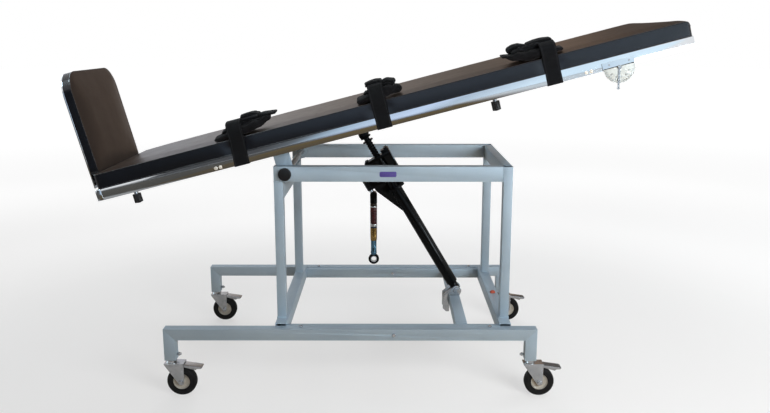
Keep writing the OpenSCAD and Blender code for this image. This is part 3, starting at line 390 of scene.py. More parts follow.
def add(name, part, look, body, place=ONE, angle=35, node=None):
    """A piece that rides on a body; node is the CAD node it stands for."""
    verts, faces, *rest = part
    me = bpy.data.meshes.new(name)
    me.from_pydata(verts, [], faces)
    if rest and rest[0]:
        layer = me.uv_layers.new(name="UVMap")
        for loop in me.loops:
            layer.data[loop.index].uv = rest[0][loop.vertex_index]
    smooth(me, angle)
    me.materials.append(M[look])
    ob = stand(name, me, place)
    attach(ob, body)
    if node:
        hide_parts(node)
    return ob


def dress(node, width, place=ONE):
    """A copy of a CAD node with rounded edges, standing for it."""
    src = NODES[node]
    me = src.data.copy()
    me.name = node + "_skin"
    me.transform(place.inverted())
    bm = bmesh.new()
    bm.from_mesh(me)
    bmesh.ops.remove_doubles(bm, verts=bm.verts, dist=2e-5)
    bmesh.ops.dissolve_limit(bm, angle_limit=radians(1.5), verts=bm.verts, edges=bm.edges)
    bm.to_mesh(me)
    bm.free()
    me.materials.clear()
    me.materials.append(M[SLOT[node]])
    ob = stand(node + "_skin", me, place)
    mod = ob.modifiers.new("edges", "BEVEL")
    mod.width = width
    mod.segments = 2
    mod.limit_method = "ANGLE"
    mod.angle_limit = radians(38)
    bpy.context.view_layer.update()
    dg = bpy.context.evaluated_depsgraph_get()
    rounded = bpy.data.meshes.new_from_object(
        ob.evaluated_get(dg), preserve_all_data_layers=True, depsgraph=dg)
    ob.modifiers.clear()
    ob.data = rounded
    smooth(rounded, 30)
    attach(ob, src["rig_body"])
    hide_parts(node)


def wrap(rows, ring, closed=False):
    """Faces over rows of ring points, joined end to end or capped."""
    faces = []
    for i in range(rows if closed else rows - 1):
        j = (i + 1) % rows
        for k in range(ring):
            m = (k + 1) % ring
            faces.append((i * ring + k, i * ring + m, j * ring + m, j * ring + k))
    if not closed:
        faces += [[*range(ring)][::-1], [*range((rows - 1) * ring, rows * ring)]]
    return faces


def around(r, z, turns):
    """The points of a circle about +Z."""
    return [(r * cos(2 * pi * i / turns), r * sin(2 * pi * i / turns), z)
            for i in range(turns)]


def lathe(profile, turns=48):
    """A closed turned form from (radius, height) rows along +Z."""
    verts, faces, rows = [], [], []
    for r, z in profile:
        points = around(r, z, turns) if r else [(0, 0, z)]
        rows.append(range(len(verts), len(verts) + len(points)))
        verts += points
    for a, b in zip(rows, rows[1:]):
        for i in range(turns):
            j = (i + 1) % turns
            f = [a[i % len(a)], a[j % len(a)], b[j % len(b)], b[i % len(b)]]
            f = [v for k, v in enumerate(f) if v not in f[:k]]
            if len(f) > 2:
                faces.append(f)
    return verts, faces


def hoop(section, turns=56):
    """A closed ring about +Z; (radius, height) rows go round its section."""
    verts = [(r * x, r * y, z) for x, y, _ in around(1, 0, turns) for r, z in section]
    return verts, [(a, d, c, b) for a, b, c, d in wrap(turns, len(section), True)]


def tube(points, radius, sides=10, closed=False, wobble=0, seed=0):
    """A tube along points; wobble ripples its radius, as in a weld."""
    pts = [Vector(p) for p in points]
    n = len(pts)
    verts = []
    normal = None
    for i, p in enumerate(pts):
        a = pts[(i - 1) % n] if closed or i else p
        b = pts[(i + 1) % n] if closed or i < n - 1 else p
        d = (b - a).normalized()
        if normal is None:
            normal = d.orthogonal().normalized()
        normal = (normal - d * normal.dot(d)).normalized()
        side = d.cross(normal)
        r = radius * (1 + wobble * sin(i * 2.1 + seed) + wobble * 0.5 * sin(i * 0.77 + seed))
        verts += [p + (normal * x + side * y) * r for x, y, _ in around(1, 0, sides)]
    return verts, wrap(n, sides, closed)


def threaded(start, end, radius, depth, pitch, turns=40, step=0.0011):
    """A screw along +Z with its groove cut inwards."""
    rows = round((end - start) / step)
    verts = []
    for i in range(rows + 1):
        z = start + (end - start) * i / rows
        for k, (x, y, _) in enumerate(around(1, 0, turns)):
            phase = (z / pitch - k / turns) % 1
            r = radius - depth * max(0, min(1, (0.5 - abs(phase - 0.5) - 0.14) * 5))
            verts.append((r * x, r * y, z))
    return verts, wrap(rows + 1, turns)


def join(parts):
    verts, faces, uvs = [], [], []
    for v, f, *uv in parts:
        base = len(verts)
        verts += [Vector(p) for p in v]
        faces += [[base + i for i in face] for face in f]
        uvs += uv[0] if uv else []
    return verts, faces, uvs


def move(part, matrix):
    return [matrix @ Vector(p) for p in part[0]], part[1]


def runs_along(path):
    """Each row's centre, across, direction of travel and distance so far."""
    path = [(Vector(p), Vector(across).normalized()) for p, across in path]
    rows, run = [], 0
    for i, (p, across) in enumerate(path):
        run += (p - path[max(i - 1, 0)][0]).length
        d = path[min(i + 1, len(path) - 1)][0] - path[max(i - 1, 0)][0]
        rows.append((p, across, d, run))
    return rows


def ribbon(path, width, thick, seg=6):
    """A flat band along a path of (centre, across) rows, with UVs in metres."""
    verts, uvs = [], []
    for p, across, d, run in runs_along(path):
        out = d.cross(across).normalized()
        steps = [-width / 2 + width * k / seg for k in range(seg + 1)]
        for face, vs in ((1, steps), (-1, steps[::-1])):
            for v in vs:
                verts.append(p + across * v + out * thick / 2 * face)
                uvs.append((run, v))
    return verts, wrap(len(path), 2 * (seg + 1)), uvs


def padded_strip(path, widths, thicks, seg, power, seed):
    """A padded strip along such a path: squared oval section, rounded ends."""
    rows = []
    for (p, across, d, run), width, thick in zip(runs_along(path), widths, thicks):
        d = d.normalized()
        rows.append((p, across, d, d.cross(across).normalized(), width / 2, thick / 2, run))
    ends = []
    for (p, across, d, out, w, h, run), way in ((rows[0], -1), (rows[-1], 1)):
        caps = [(cos(t), sin(t)) for t in (radians(a) for a in (12, 32, 52, 74))]
        ends.append([(p + d * h * s * way, across, d, out, w - h * (1 - c), h * c, run + h * s * way)
                     for c, s in caps])
    verts, uvs = [], []
    rows = ends[0][::-1] + rows + ends[1]
    for p, across, d, out, w, h, run in rows:
        for k in range(seg):
            t = 2 * pi * k / seg
            c, s = (copysign(abs(f) ** (2 / power), f) for f in (cos(t), sin(t)))
            q = p + across * w * c + out * h * s
            q += out * 0.0011 * noise.noise(q * 55 + Vector((seed, 0, 0))) * abs(s)
            verts.append(q)
            uvs.append((run, w * c))
    return verts, wrap(len(rows), seg), uvs


# ---- cushions
def cushion(length, width, thick, crown, r_foot, r_head, cell, power=7.0, nose=0):
    """A closed boxed cushion: x from 0 to length, y over the width, z from -thick to the
    crown over the seam at 0. nose is the radius of its far end in the side view."""
    ny = round(width / cell)
    plain = length - 1.2 * nose
    xs = [plain * i / round(plain / cell) for i in range(round(plain / cell) + 1)]
    if nose:
        xs += [plain + (length - plain) * (1 - (1 - k / 8) ** 1.6) for k in range(1, 9)]
    nx = len(xs) - 1

    def corner(x, y):
        """Moves a grid point into the rounded outline."""
        for r, cx, sx in ((r_foot, r_foot, -1), (r_head, length - r_head, 1)):
            for sy in (-1, 1):
                cy = sy * (width / 2 - r)
                a, b = (x - cx) * sx / r, (y - cy) * sy / r
                if a > 0 and b > 0:
                    a, b = min(a, 1), min(b, 1)
                    return (cx + sx * r * a * sqrt(1 - b * b / 2),
                            cy + sy * r * b * sqrt(1 - a * a / 2))
        return x, y

    def crowned(x, y):
        inset = min(x, length - x, width / 2 - abs(y))
        s = max(0, min(1, inset / (min(width, length) / 2)))
        d = max(0, nose - (length - x))
        return crown * (1 - (1 - s) ** power) - (nose - sqrt(nose * nose - d * d) if d else 0)

    verts, faces, kind = [], [], []

    def point(p, name):
        verts.append(p)
        kind.append(name)
        return len(verts) - 1

    top = {}
    grid = [(i, j) for i in range(nx + 1) for j in range(ny + 1)]
    for i, j in grid:
        x, y = xs[i], -width / 2 + width * j / ny
        top[i, j] = point(Vector((*corner(x, y), crowned(x, y))), "top")
    rim = ([(i, 0) for i in range(nx)] + [(nx, j) for j in range(ny)]
           + [(i, ny) for i in range(nx, 0, -1)] + [(0, j) for j in range(ny, 0, -1)])
    for k in rim:
        kind[top[k]] = "seam"
    rows = [[top[k] for k in rim]]
    levels = max(4, round(thick / cell))
    for s in range(1, levels + 1):
        row = []
        for k in rim:
            p = verts[top[k]].copy()
            p.z += (-thick - p.z) * s / levels
            row.append(point(p, "side" if s < levels else "seam"))
        rows.append(row)
    low = dict(zip(rim, rows[-1]))
    for k in grid:
        if k not in low:
            low[k] = point(Vector((*verts[top[k]].xy, -thick)), "back")
    for i in range(nx):
        for j in range(ny):
            faces.append((top[i, j], top[i + 1, j], top[i + 1, j + 1], top[i, j + 1]))
            faces.append((low[i, j], low[i, j + 1], low[i + 1, j + 1], low[i + 1, j]))
    for a, b in zip(rows, rows[1:]):
        for k in range(len(rim)):
            m = (k + 1) % len(rim)
            faces.append((a[k], b[k], b[m], a[m]))
    return verts, faces, kind, (rows[0], rows[-1])


def puff(ob, held, cap, pressure=4.0, frames=20):
    """Swells a closed cover with Cloth; held points stay and none moves by more than cap."""
    ob.vertex_groups.new(name="held").add(held, 1, "REPLACE")
    rest = [v.co.copy() for v in ob.data.vertices]
    mod = ob.modifiers.new("cloth", "CLOTH")
    for key, value in dict(
            quality=4, mass=0.3, tension_stiffness=25, compression_stiffness=25, shear_stiffness=15,
            bending_stiffness=2, use_pressure=True, uniform_pressure_force=pressure,
            vertex_group_mass="held").items():
        setattr(mod.settings, key, value)
    mod.settings.effector_weights.gravity = 0
    mod.collision_settings.use_collision = False
    mod.point_cache.frame_start = 1
    mod.point_cache.frame_end = frames
    scene = bpy.context.scene
    for f in range(1, frames + 1):
        scene.frame_set(f)
    dg = bpy.context.evaluated_depsgraph_get()
    moved = [v.co.copy() for v in ob.evaluated_get(dg).data.vertices]
    ob.modifiers.clear()
    ob.vertex_groups.clear()
    for v, a, b in zip(ob.data.vertices, rest, moved):
        d = b - a
        v.co = a + (d.normalized() * cap if d.length > cap else d)
    scene.frame_set(1)


# How far a strap sinks into the mattress: on top, more towards its edges, and at its sides
SINK, SINK_EDGE, EDGE_RUN, SINK_SIDE = 0.0016, 0.003, 0.16, 0.0022
COVER_CROWN = CROWN - 0.0015


def sink_at(y):
    return SINK + SINK_EDGE * max(0, 1 - (WIDTH / 2 - abs(y)) / EDGE_RUN)


def crown_at(y):
    s = max(0, 1 - abs(y) / (WIDTH / 2))
    return COVER_CROWN * (1 - (1 - s) ** 7)


def hump(t):
    """0 at both ends of 0 to 1, and 1 halfway."""
    return 0.5 - 0.5 * cos(2 * pi * min(1, max(0, t)))


def bell(x, half, soft):
    """1 inside half, falling to nothing over soft."""
    d = (abs(x) - half) / soft
    return 1 if d <= 0 else 0 if d >= 1 else 0.5 + 0.5 * cos(pi * d)


def cover(name, shape, place, body, node, offset, dents=()):
    """A swollen, slightly uneven cover, and the loops of its two seams."""
    verts, faces, kind, seam_rows = shape
    ob = add(name, (verts, faces), "leatherette", body, ONE, 60)
    puff(ob, [i for i, k in enumerate(kind) if k in ("seam", "back")], 0.003)
    for v in ob.data.vertices:
        c, k = v.co, kind[v.index]
        if k == "back":
            continue
        c.z += 0.0007 * noise.noise(Vector((c.x * 9, c.y * 12, 1.3))) * (1 if k == "top" else 0.3)
        for u in dents:
            w = bell(c.x - u, 0.024, 0.028)
            if w and k == "top":
                c.z -= w * sink_at(c.y)
            elif w:
                c.y -= copysign(w * (0.0008 + SINK_SIDE * hump(-c.z / THICK)), c.y)
    loops = [[ob.data.vertices[i].co + offset for i in row] for row in seam_rows]
    ob.data.transform(Matrix.Translation(offset))
    ob.matrix_world = place
    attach(ob, body)
    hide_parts(node)
    smooth(ob.data, 60)
    return ob, loops


def resample(loop, step):
    """Evenly spaced points round a closed loop."""
    pts = loop + [loop[0]]
    lengths = [(b - a).length for a, b in zip(pts, pts[1:])]
    count = round(sum(lengths) / step)
    out, run, k = [], 0, 0
    for i in range(count):
        target = sum(lengths) * i / count
        while run + lengths[k] < target:
            run += lengths[k]
            k += 1
        out.append(pts[k].lerp(pts[k + 1], (target - run) / max(lengths[k], 1e-9)))
    return out


def piping(name, loop, radius, place, body, drop, inset):
    """A cord in a seam, a little lower and further in."""
    centre = sum(loop, Vector()) / len(loop)
    pts = []
    for p in resample(loop, 0.006):
        d = Vector((centre.x - p.x, centre.y - p.y, 0))
        d.x = copysign(min(abs(d.x), 1), d.x)
        pts.append(p + Vector((0, 0, drop)) + d.normalized() * inset)
    add(name, tube(pts, radius, 8, True), "leatherette", body, place, 80)


# The foot board's own frame: x up, z towards the table
FOOT = TABLE @ Matrix(((0, 0, 1, -0.0457), (0, -1, 0, 0), (1, 0, 0, 0.0003), (0, 0, 0, 1)))

mat_shape = cushion(LENGTH + OVER, WIDTH - 0.002, THICK - 0.0005, COVER_CROWN,
                    r_foot=0.012, r_head=0.012, cell=0.011, nose=0.017)
mattress, mat_seams = cover("mattress_cover", mat_shape, TABLE, "table", "mattress",
                            Vector((-OVER, 0, 0)), dents=[u + OVER for u in STRAP_US])
piping("mattress_seam_top", mat_seams[0], 0.0016, TABLE, "table", -0.0006, 0.0004)
piping("mattress_seam_low", mat_seams[1], 0.0014, TABLE, "table", 0.0018, 0.0006)

foot_shape = cushion(0.3504, 0.447, 0.0265, 0.0055, r_foot=0.012, r_head=0.075, cell=0.0075,
                     power=6.0)
foot_pad, foot_seams = cover("foot_board_cover", foot_shape, FOOT, "footboard", "footboard_pad",
                             Vector((-0.005, 0, 0.0267)))
piping("foot_board_seam", foot_seams[0], 0.0016, FOOT, "footboard", -0.0006, 0.0004)


# ---- straps
def strap_loop(u, skew):
    """The band round the table: over the mattress, down its sides, under the rails."""
    y_side = WIDTH / 2 + GAP + BAND_T / 2
    bend, drop, toe, proud = 0.008, 0.009, 0.003, 0.0006
    flat = WIDTH / 2 + GAP - bend
    steps = 40
    ys = [-flat + 2 * flat * i / steps for i in range(steps + 1)]
    pts = [(y, crown_at(y) - sink_at(y) + proud + BAND_T / 2) for y in ys]
    z0 = pts[-1][1]
    for i in range(1, 5):
        a = pi / 2 * i / 5
        pts.append((flat + (bend + BAND_T / 2 - proud) * sin(a), z0 - drop + drop * cos(a)))
    for i in range(9):
        f = i / 8
        pts.append((y_side - SINK_SIDE * hump(f * 1.25), z0 - drop - f * (RAIL_LOW - toe + z0 - drop)))
    low = -RAIL_LOW - GAP - BAND_T / 2
    for i in range(1, 4):
        a = pi / 2 * i / 3
        pts.append((y_side - toe + toe * cos(a), low + toe - toe * sin(a)))
    bottom = [(y_side - toe - 2 * (y_side - toe) * i / 24, low) for i in range(1, 24)]
    left = [(-y, z) for y, z in pts[steps + 1:]][::-1]
    path = [((u + skew * max(0, 1 + z / RAIL_LOW) * max(0, 0.5 - y / WIDTH), y, z), (1, 0, 0))
            for y, z in pts + bottom + left + pts[:1]]
    return ribbon(path, BAND_WIDTH, BAND_T)


def lay(points, yaw, centre, seed, tip=0.07, lean=0.04):
    """Turns (along, up) rows into a path over the table, its near edge tipped down."""
    rot = Matrix.Rotation(yaw, 3, "Z")
    path = []
    for i, (a, h) in enumerate(points):
        p = rot @ Vector((a, 0.002 * sin(seed + i * 0.6), h)) + Vector(centre)
        across = (0.05 * sin(seed + i * 0.4), 1, tip + lean * sin(seed + i * 0.35))
        path.append((p, rot @ Vector(across)))
    return path


def spread(values, n):
    """n values read evenly and smoothly from a short list."""
    out = []
    for i in range(n):
        t = i / (n - 1) * (len(values) - 1)
        k = min(int(t), len(values) - 2)
        f = 0.5 - 0.5 * cos(pi * (t - k))
        out.append(values[k] * (1 - f) + values[k + 1] * f)
    return out


SKEWS = (0.007, 0, 0)
add("strap_bands", join([strap_loop(u, skew) for u, skew in zip(STRAP_US, SKEWS)]), "webbing",
    "table", TABLE, 50, node="straps")

# Each bundle: its place along the table from its band, and its turn; the cuff's span with the
# heights of its underside and its thickness; the reach and turn of the fold; the loose tail's
# places, heights and thickness; place, half length, height and turn of the flap on the buckle
BUNDLES = [
    dict(du=0.026, yaw=0.07, span=(-0.09, 0.09), base=(0, 0, 0, 0.001, 0.01, 0.024),
         thick=(0.013, 0.023, 0.029, 0.031, 0.022), reach=(-0.062, 0.062), fold_yaw=0.1, seed=0.2,
         tail_at=(0.016, 0.052, 0.088, 0.119), tail_h=(0.041, 0.046, 0.046, 0.044), tail_t=0.014,
         flap=0.032, flap_half=0.023, flap_h=0.0555, flap_yaw=0.1),
    dict(du=0.01, yaw=0.04, span=(-0.07, 0.06), base=(0.001, 0, 0, 0.003, 0.006, 0.005),
         thick=(0.018, 0.026, 0.03, 0.036, 0.028), reach=(-0.045, 0.05), fold_yaw=-0.1, seed=1.7,
         tail_at=(0.006, 0.024, 0.04, 0.052), tail_h=(0.04, 0.042, 0.04, 0.033), tail_t=0.013,
         flap=-0.011, flap_half=0.023, flap_h=0.0555, flap_yaw=0.06),
    dict(du=-0.036, yaw=-0.04, span=(-0.104, 0.082), base=(0.026, 0.007, 0, 0, 0.001, 0.004),
         thick=(0.009, 0.029, 0.033, 0.028, 0.014), reach=(-0.072, 0.058), fold_yaw=0.07, seed=3.1,
         tail_at=(-0.078, -0.064, -0.046, -0.02), tail_h=(0.044, 0.049, 0.05, 0.042), tail_t=0.021,
         flap=0.018, flap_half=0.035, flap_h=0.0485, flap_yaw=-0.03),
]
CUFF_Y, CUFF_Z = -0.256, crown_at(0.256) + 0.001


def bundle(i, u, skew, b):
    """One strap's folded cuff, its folds, tail and flap, and the band over it."""
    (a0, a1), (low, far), top_h = b["span"], b["reach"], b["flap_h"]

    def crest(a):
        """Height of the cuff's top at a place along it."""
        at = round(60 * max(0, min(1, (a - a0) / (a1 - a0))))
        return spread(b["base"], 61)[at] + spread(b["thick"], 61)[at]

    def strip(kind, look, line, yaw, place, widths, thicks, sides, power, salt):
        n, seed = len(line), b["seed"] + salt
        path = lay(line, yaw, (u + b["du"] + place[0], CUFF_Y + place[1], CUFF_Z), seed)
        part = padded_strip(path, spread(widths, n), spread(thicks, n), sides, power, seed)
        return add(f"strap_{kind}_{i}", part, look, "table", TABLE, 60)

    n = 26
    line = [(a0 + (a1 - a0) * k / (n - 1), h + t / 2)
            for k, (h, t) in enumerate(zip(spread(b["base"], n), spread(b["thick"], n)))]
    pad = strip("cuff", "strap_cuff", line, b["yaw"], (0, 0.003),
                (0.074, 0.1, 0.104, 0.1, 0.072), b["thick"], 26, 3.4, 0)
    # The band folded over the cuff: out, round a bend, and back on top
    runs = [low + (far - low) * k / 12 for k in range(13)]
    fold = [(a, crest(a) + 0.0035) for a in runs]
    end, bend = fold[-1][1], 0.0047
    fold += [(far + 0.005 * sin(pi * k / 5), end + bend - bend * cos(pi * k / 5))
             for k in range(1, 5)]
    fold += [(a, crest(a) + 0.0035 + 2 * bend - 0.006 * ((far - a) / (far - low)) ** 4)
             for a in runs[:1:-1]]
    strip("fold", "webbing", fold, b["fold_yaw"], (0, 0.001), (0.052, 0.052), (0.0105, 0.0105),
          18, 3.2, 1)
    # A second fold under it, turned the other way
    under = [(a, crest(a) - 0.006) for a in (1.14 * (low + (far - low) * k / 11) for k in range(12))]
    strip("under", "strap_cuff", under, -b["fold_yaw"] * 1.3, (0, 0.004),
          (0.05, 0.07, 0.07, 0.05), (0.01, 0.017, 0.017, 0.01), 18, 3.0, 2)
    # The loose tail, and the loop over the buckle on top
    thin = b["tail_t"]
    strip("tail", "webbing", list(zip(spread(b["tail_at"], 14), spread(b["tail_h"], 14))),
          -b["fold_yaw"] * 0.6, (0, 0.01), (0.046, 0.046), (thin, thin, thin * 0.7), 18, 3.2, 4)
    half = b["flap_half"]
    flap = [(-half + 2 * half * k / 10, top_h + 0.0014 * sin(pi * k / 10))
            for k in range(11)]
    strip("flap", "webbing", flap, b["flap_yaw"], (b["flap"], 0.004), (0.05, 0.05),
          (0.0125, 0.0145, 0.0145, 0.0125), 18, 4.2, 3)
    # The band itself, up over the cuff's near edge and under the flap
    rise = [(-0.3066, -0.014), (-0.3084, -0.004), (-0.3108, 0.008), (-0.3104, 0.022),
            (-0.306, 0.034), (-0.297, top_h - 0.007), (-0.283, top_h - 0.0025),
            (-0.267, top_h - 0.0003), (-0.25, top_h + 0.0003)]
    path = [((u + skew, y, z + 0.001), (1, 0, 0)) for y, z in rise]
    add(f"strap_rise_{i}", ribbon(path, 0.0506, 0.0032), "webbing", "table", TABLE, 60)


for i, (u, skew, b) in enumerate(zip(STRAP_US, SKEWS, BUNDLES), 1):
    bundle(i, u, skew, b)


def slotted_buckle(length, width, height):
    """A two-bar buckle: a rounded frame with two bars across it."""
    def outline(inset, r, z):
        a, b, n = length / 2 - inset - r, width / 2 - inset - r, 5
        return [(cx + r * cos(t), cy + r * sin(t), z)
                for cx, cy, start in ((a, -b, -90), (a, b, 0), (-a, b, 90), (-a, -b, 180))
                for t in (radians(start + 90 * k / n) for k in range(n + 1))]

    wall, half = 0.006, height / 2
    outer, inner = outline(0, 0.006, -half), outline(wall, 0.003, -half)
    n = len(outer)
    rings = [outer, outline(0, 0.006, half), inner, outline(wall, 0.003, half)]
    faces = []
    for k in range(n):
        m = (k + 1) % n
        faces += [(k, m, n + m, n + k), (2 * n + m, 2 * n + k, 3 * n + k, 3 * n + m),
                  (n + k, n + m, 3 * n + m, 3 * n + k), (m, k, 2 * n + k, 2 * n + m)]
    reach = width / 2 - 0.004
    bars = [tube([(x, -reach, 0), (x, 0, height * 0.12), (x, reach, 0)], 0.0032)
            for x in (-0.011, 0.011)]
    return join([(sum(rings, []), faces)] + bars)


buckles = []
for u, b in zip(STRAP_US, BUNDLES):
    at = shift(u + b["du"] + b["flap"], -0.253, crown_at(0.256) + b["flap_h"] - 0.0055)
    buckles.append(move(slotted_buckle(2 * b["flap_half"] + 0.014, 0.056, 0.005),
                        at @ Matrix.Rotation(b["flap_yaw"], 4, "Z")))
add("strap_buckle_frames", join(buckles), "black_plastic", "table", TABLE, 40, node="strap_buckles")


# ---- frame, table, jack: rounded copies
ROUNDED = (
    (0.003, ONE, "base_rails castor_legs cross_rails jack_cross_rail frame_legs top_rail_near "
                 "top_rail_far top_cross_head top_cross_foot"),
    (0.0025, ONE, "tie_rails"), (0.0012, ONE, "jack_saddle axle_caps"),
    (0.0006, ONE, "frame_bolts castor_stems"), (0.0003, ONE, "name_plate"),
    (0.0028, TABLE, "side_rail_near side_rail_far"), (0.0022, TABLE, "table_cross_tubes"),
    (0.0015, TABLE, "footboard_bar"), (0.0012, TABLE, "footboard_plate footboard_screws"),
    (0.001, TABLE, "pivot_lugs ram_bracket footboard_prongs deck_board"),
    (0.0004, TABLE, "angle_dial"), (0.0012, JACK, "jack_tube"), (0.0018, JACK, "gear_case"))
FOURFOLD = (("clamp_knob", 0.0007, TABLE), ("castor_fork", 0.0008, ONE),
            ("castor_hub", 0.0008, ONE), ("brake_pedal", 0.0009, ONE))
for width, place, nodes in ROUNDED:
    for node in nodes.split():
        dress(node, width, place)
for k in range(1, 5):
    for kind, width, place in FOURFOLD:
        dress(f"{kind}_{k}", width, place)
for node in ("tilt_axle", "rail_screws", "dial_pointer", "crank_stub", "crank_knuckle",
             *(f"castor_tyre_{k}" for k in range(1, 5))):
    NODES[node].data.materials.clear()
    NODES[node].data.materials.append(M[SLOT[node]])


# ---- handle, ram, knobs
HANG = Matrix.Translation(KNUCKLE)
GRIP, LIP, RING = 0.0125, 0.0121, 0.0128
HANDLE_BANDS = (
    ("bronze", "handle_bronze",
     ((0, -0.0303), (0.0105, -0.0303), (0.0122, -0.0316), (GRIP, -0.034), (GRIP, -0.0416))),
    ("ring", "handle_ring",
     ((LIP, -0.0416), (RING, -0.0422), (0.013, -0.0436), (RING, -0.0462), (LIP, -0.0468))),
    ("wine", "handle_bands", ((GRIP, -0.0468), (0.0126, -0.06), (0.0126, -0.095), (GRIP, -0.1098))),
    ("slate", "handle_slate", ((GRIP, -0.1192), (GRIP, -0.122), (GRIP, -0.1252))),
    ("gold", "handle_gold",
     ((GRIP, -0.1252), (GRIP, -0.14), (0.0123, -0.16), (0.0119, -0.169), (0.0112, -0.1735))),
    ("blued", "handle_blued", ((0.0112, -0.1735), (0.0106, -0.178), (0.0104, -0.195),
                               (0.0107, -0.212), (0.0114, -0.222), (0.01, -0.2265), (0, -0.2268))),
    ("collar", "handle_ring", ((LIP, -0.1098), (RING, -0.1106), (0.013, -0.1122), (0.013, -0.117),
                               (RING, -0.1184), (LIP, -0.1192))))
for name, look, rows in HANDLE_BANDS:
    add(f"crank_handle_{name}", lathe(rows, 56), look, "handle", HANG, 50)
EYE = HANG @ shift(0, 0, -0.244) @ spin(90, "X")
eye_rows = ((0.0112, -0.006), (0.0132, -0.0068), (0.0175, -0.0068), (0.0196, -0.0048),
            (0.02, 0), (0.0196, 0.0048), (0.0175, 0.0068), (0.0132, 0.0068), (0.0112, 0.006))
bush_rows = ((0.0091, -0.0062), (0.0096, -0.0069), (0.0108, -0.007), (0.0116, -0.0064),
             (0.0114, 0), (0.0116, 0.0064), (0.0108, 0.007), (0.0096, 0.0069), (0.0091, 0.0062))
add("crank_handle_eye", hoop(eye_rows), "jack_black", "handle", EYE, 40,
    "crank_handle")
add("crank_handle_bush", hoop(bush_rows), "axle_steel", "handle", EYE, 50)

# The ram: its screw, the two flanges under its eye, and the eye
ALONG = JACK @ spin(90, "Y")
PIN = JACK @ shift(JACK_REACH, 0, 0) @ spin(90, "X")
flange_at = JACK_REACH - 0.027
FLANGE, F_EDGE, NECK, N_EDGE = 0.0188, 0.0199, 0.0108, 0.0112
flange_rows = (
    (0, -0.0062), (FLANGE, -0.0062), (F_EDGE, -0.0052), (F_EDGE, -0.001), (FLANGE, 0),
    (N_EDGE, 0), (NECK, 0.0016), (NECK, 0.0088), (N_EDGE, 0.01), (FLANGE, 0.01),
    (F_EDGE, 0.011), (F_EDGE, 0.015), (FLANGE, 0.016), (N_EDGE, 0.016),
    (NECK, 0.0176), (NECK, 0.024), (0, 0.024))
add("jack_screw", threaded(JACK_REACH - 0.445, flange_at - 0.005, 0.0129, 0.0018, 0.0098),
    "jack_black", "ram", ALONG, 34, node="jack_ram")
add("jack_flanges", lathe([(r, flange_at + z) for r, z in flange_rows], 56), "jack_black", "ram",
    ALONG, 34)
add("jack_ram_eye", lathe(((0, -0.0219), (0.0148, -0.0219), (0.0159, -0.0209), (0.0159, 0.0209),
                           (0.0148, 0.0219), (0, 0.0219)), 56), "jack_black", "ram", PIN, 34)

# The red plug's domed head
dome_rows = ((0, 0), (0.0094, 0), (0.0099, 0.0008), (0.0098, 0.003), (0.0089, 0.0056),
             (0.007, 0.0077), (0.0042, 0.0088), (0, 0.0091))
add("hole_plug_dome", lathe(dome_rows), "plug_red", "base",
    shift(BOX_X + BOX_LEN - TUBE / 2, -0.017, 0.245), 40, node="hole_plug")

# Bright necks and plain tips of the hand screws
neck_rows = ((0, -0.0003), (0.0068, -0.0003), (0.0074, -0.001), (0.0074, -0.0028),
             (0.0068, -0.0034), (0.0064, -0.004), (0.0072, -0.0046), (0.0074, -0.0064),
             (0.0068, -0.0072), (0, -0.0072))
tip_rows = ((0, -0.0363), (0.006, -0.0363), (0.0068, -0.0368), (0.0068, -0.0374),
            (0.0058, -0.038), (0, -0.0382))
for k, (u, side) in enumerate(((u, side) for u in KNOB_US for side in (-1, 1)), 1):
    place = TABLE @ shift(u, side * RAIL_MID, -RAIL_LOW - GAP)
    add(f"clamp_knob_neck_{k}", lathe(neck_rows, 40), "chrome", f"knob_{k}", place, 34)
    add(f"clamp_knob_tip_{k}", lathe(tip_rows, 40), "black_plastic", f"knob_{k}", place, 34)


# ---- tilt gauge
FACE_Y = -(WIDTH / 2 + 0.002 + 0.003)
STRIP_Y = -WIDTH / 2 - 0.0013


def dial_point(degrees, r):
    a = radians(degrees)
    return DIAL.x + r * sin(a), DIAL.z - r * cos(a)


# Its scale: a tick each 5 degrees, a number each 30, an arc round the ticks
parts = []
for a in range(-85, 90, 5):
    inner = 0.0385 if a % 30 == 0 else 0.0415 if a % 10 == 0 else 0.044
    half = 0.0005 if a % 10 == 0 else 0.00035
    (x0, z0), (x1, z1) = dial_point(a, inner), dial_point(a, 0.0475)
    sx, sz = half * cos(radians(a)), half * sin(radians(a))
    quad = [(x0 - sx, z0 - sz), (x0 + sx, z0 + sz), (x1 + sx, z1 + sz), (x1 - sx, z1 - sz)]
    parts.append(([(x, FACE_Y + dy, z) for dy in (-0.00016, 0.0003) for x, z in quad],
                  [(0, 1, 2, 3), (7, 6, 5, 4), (0, 4, 5, 1), (1, 5, 6, 2), (2, 6, 7, 3), (3, 7, 4, 0)]))
arc = [dial_point(a, 0.0488) for a in range(-88, 89, 4)]
parts.append(tube([(x, FACE_Y, z) for x, z in arc], 0.0003, 6))
add("dial_scale", join(parts), "dial_ink", "table", TABLE, 30)
for a in (-60, -30, 0, 30, 60):
    text = bpy.data.curves.new(f"dial_number_{a + 90}", "FONT")
    text.body = str(abs(a))
    text.size = 0.0082
    text.extrude = 0.00015
    text.align_x = text.align_y = "CENTER"
    tmp = stand("tmp_number", text)
    bpy.context.view_layer.update()
    me = bpy.data.meshes.new_from_object(tmp.evaluated_get(bpy.context.evaluated_depsgraph_get()))
    bpy.data.objects.remove(tmp)
    x, z = dial_point(a, 0.0325)
    me.transform(shift(x, FACE_Y, z) @ spin(90, "X"))
    me.materials.clear()
    me.materials.append(M["dial_ink"])
    ob = stand(f"dial_number_{a + 90}", me, TABLE)
    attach(ob, "table")

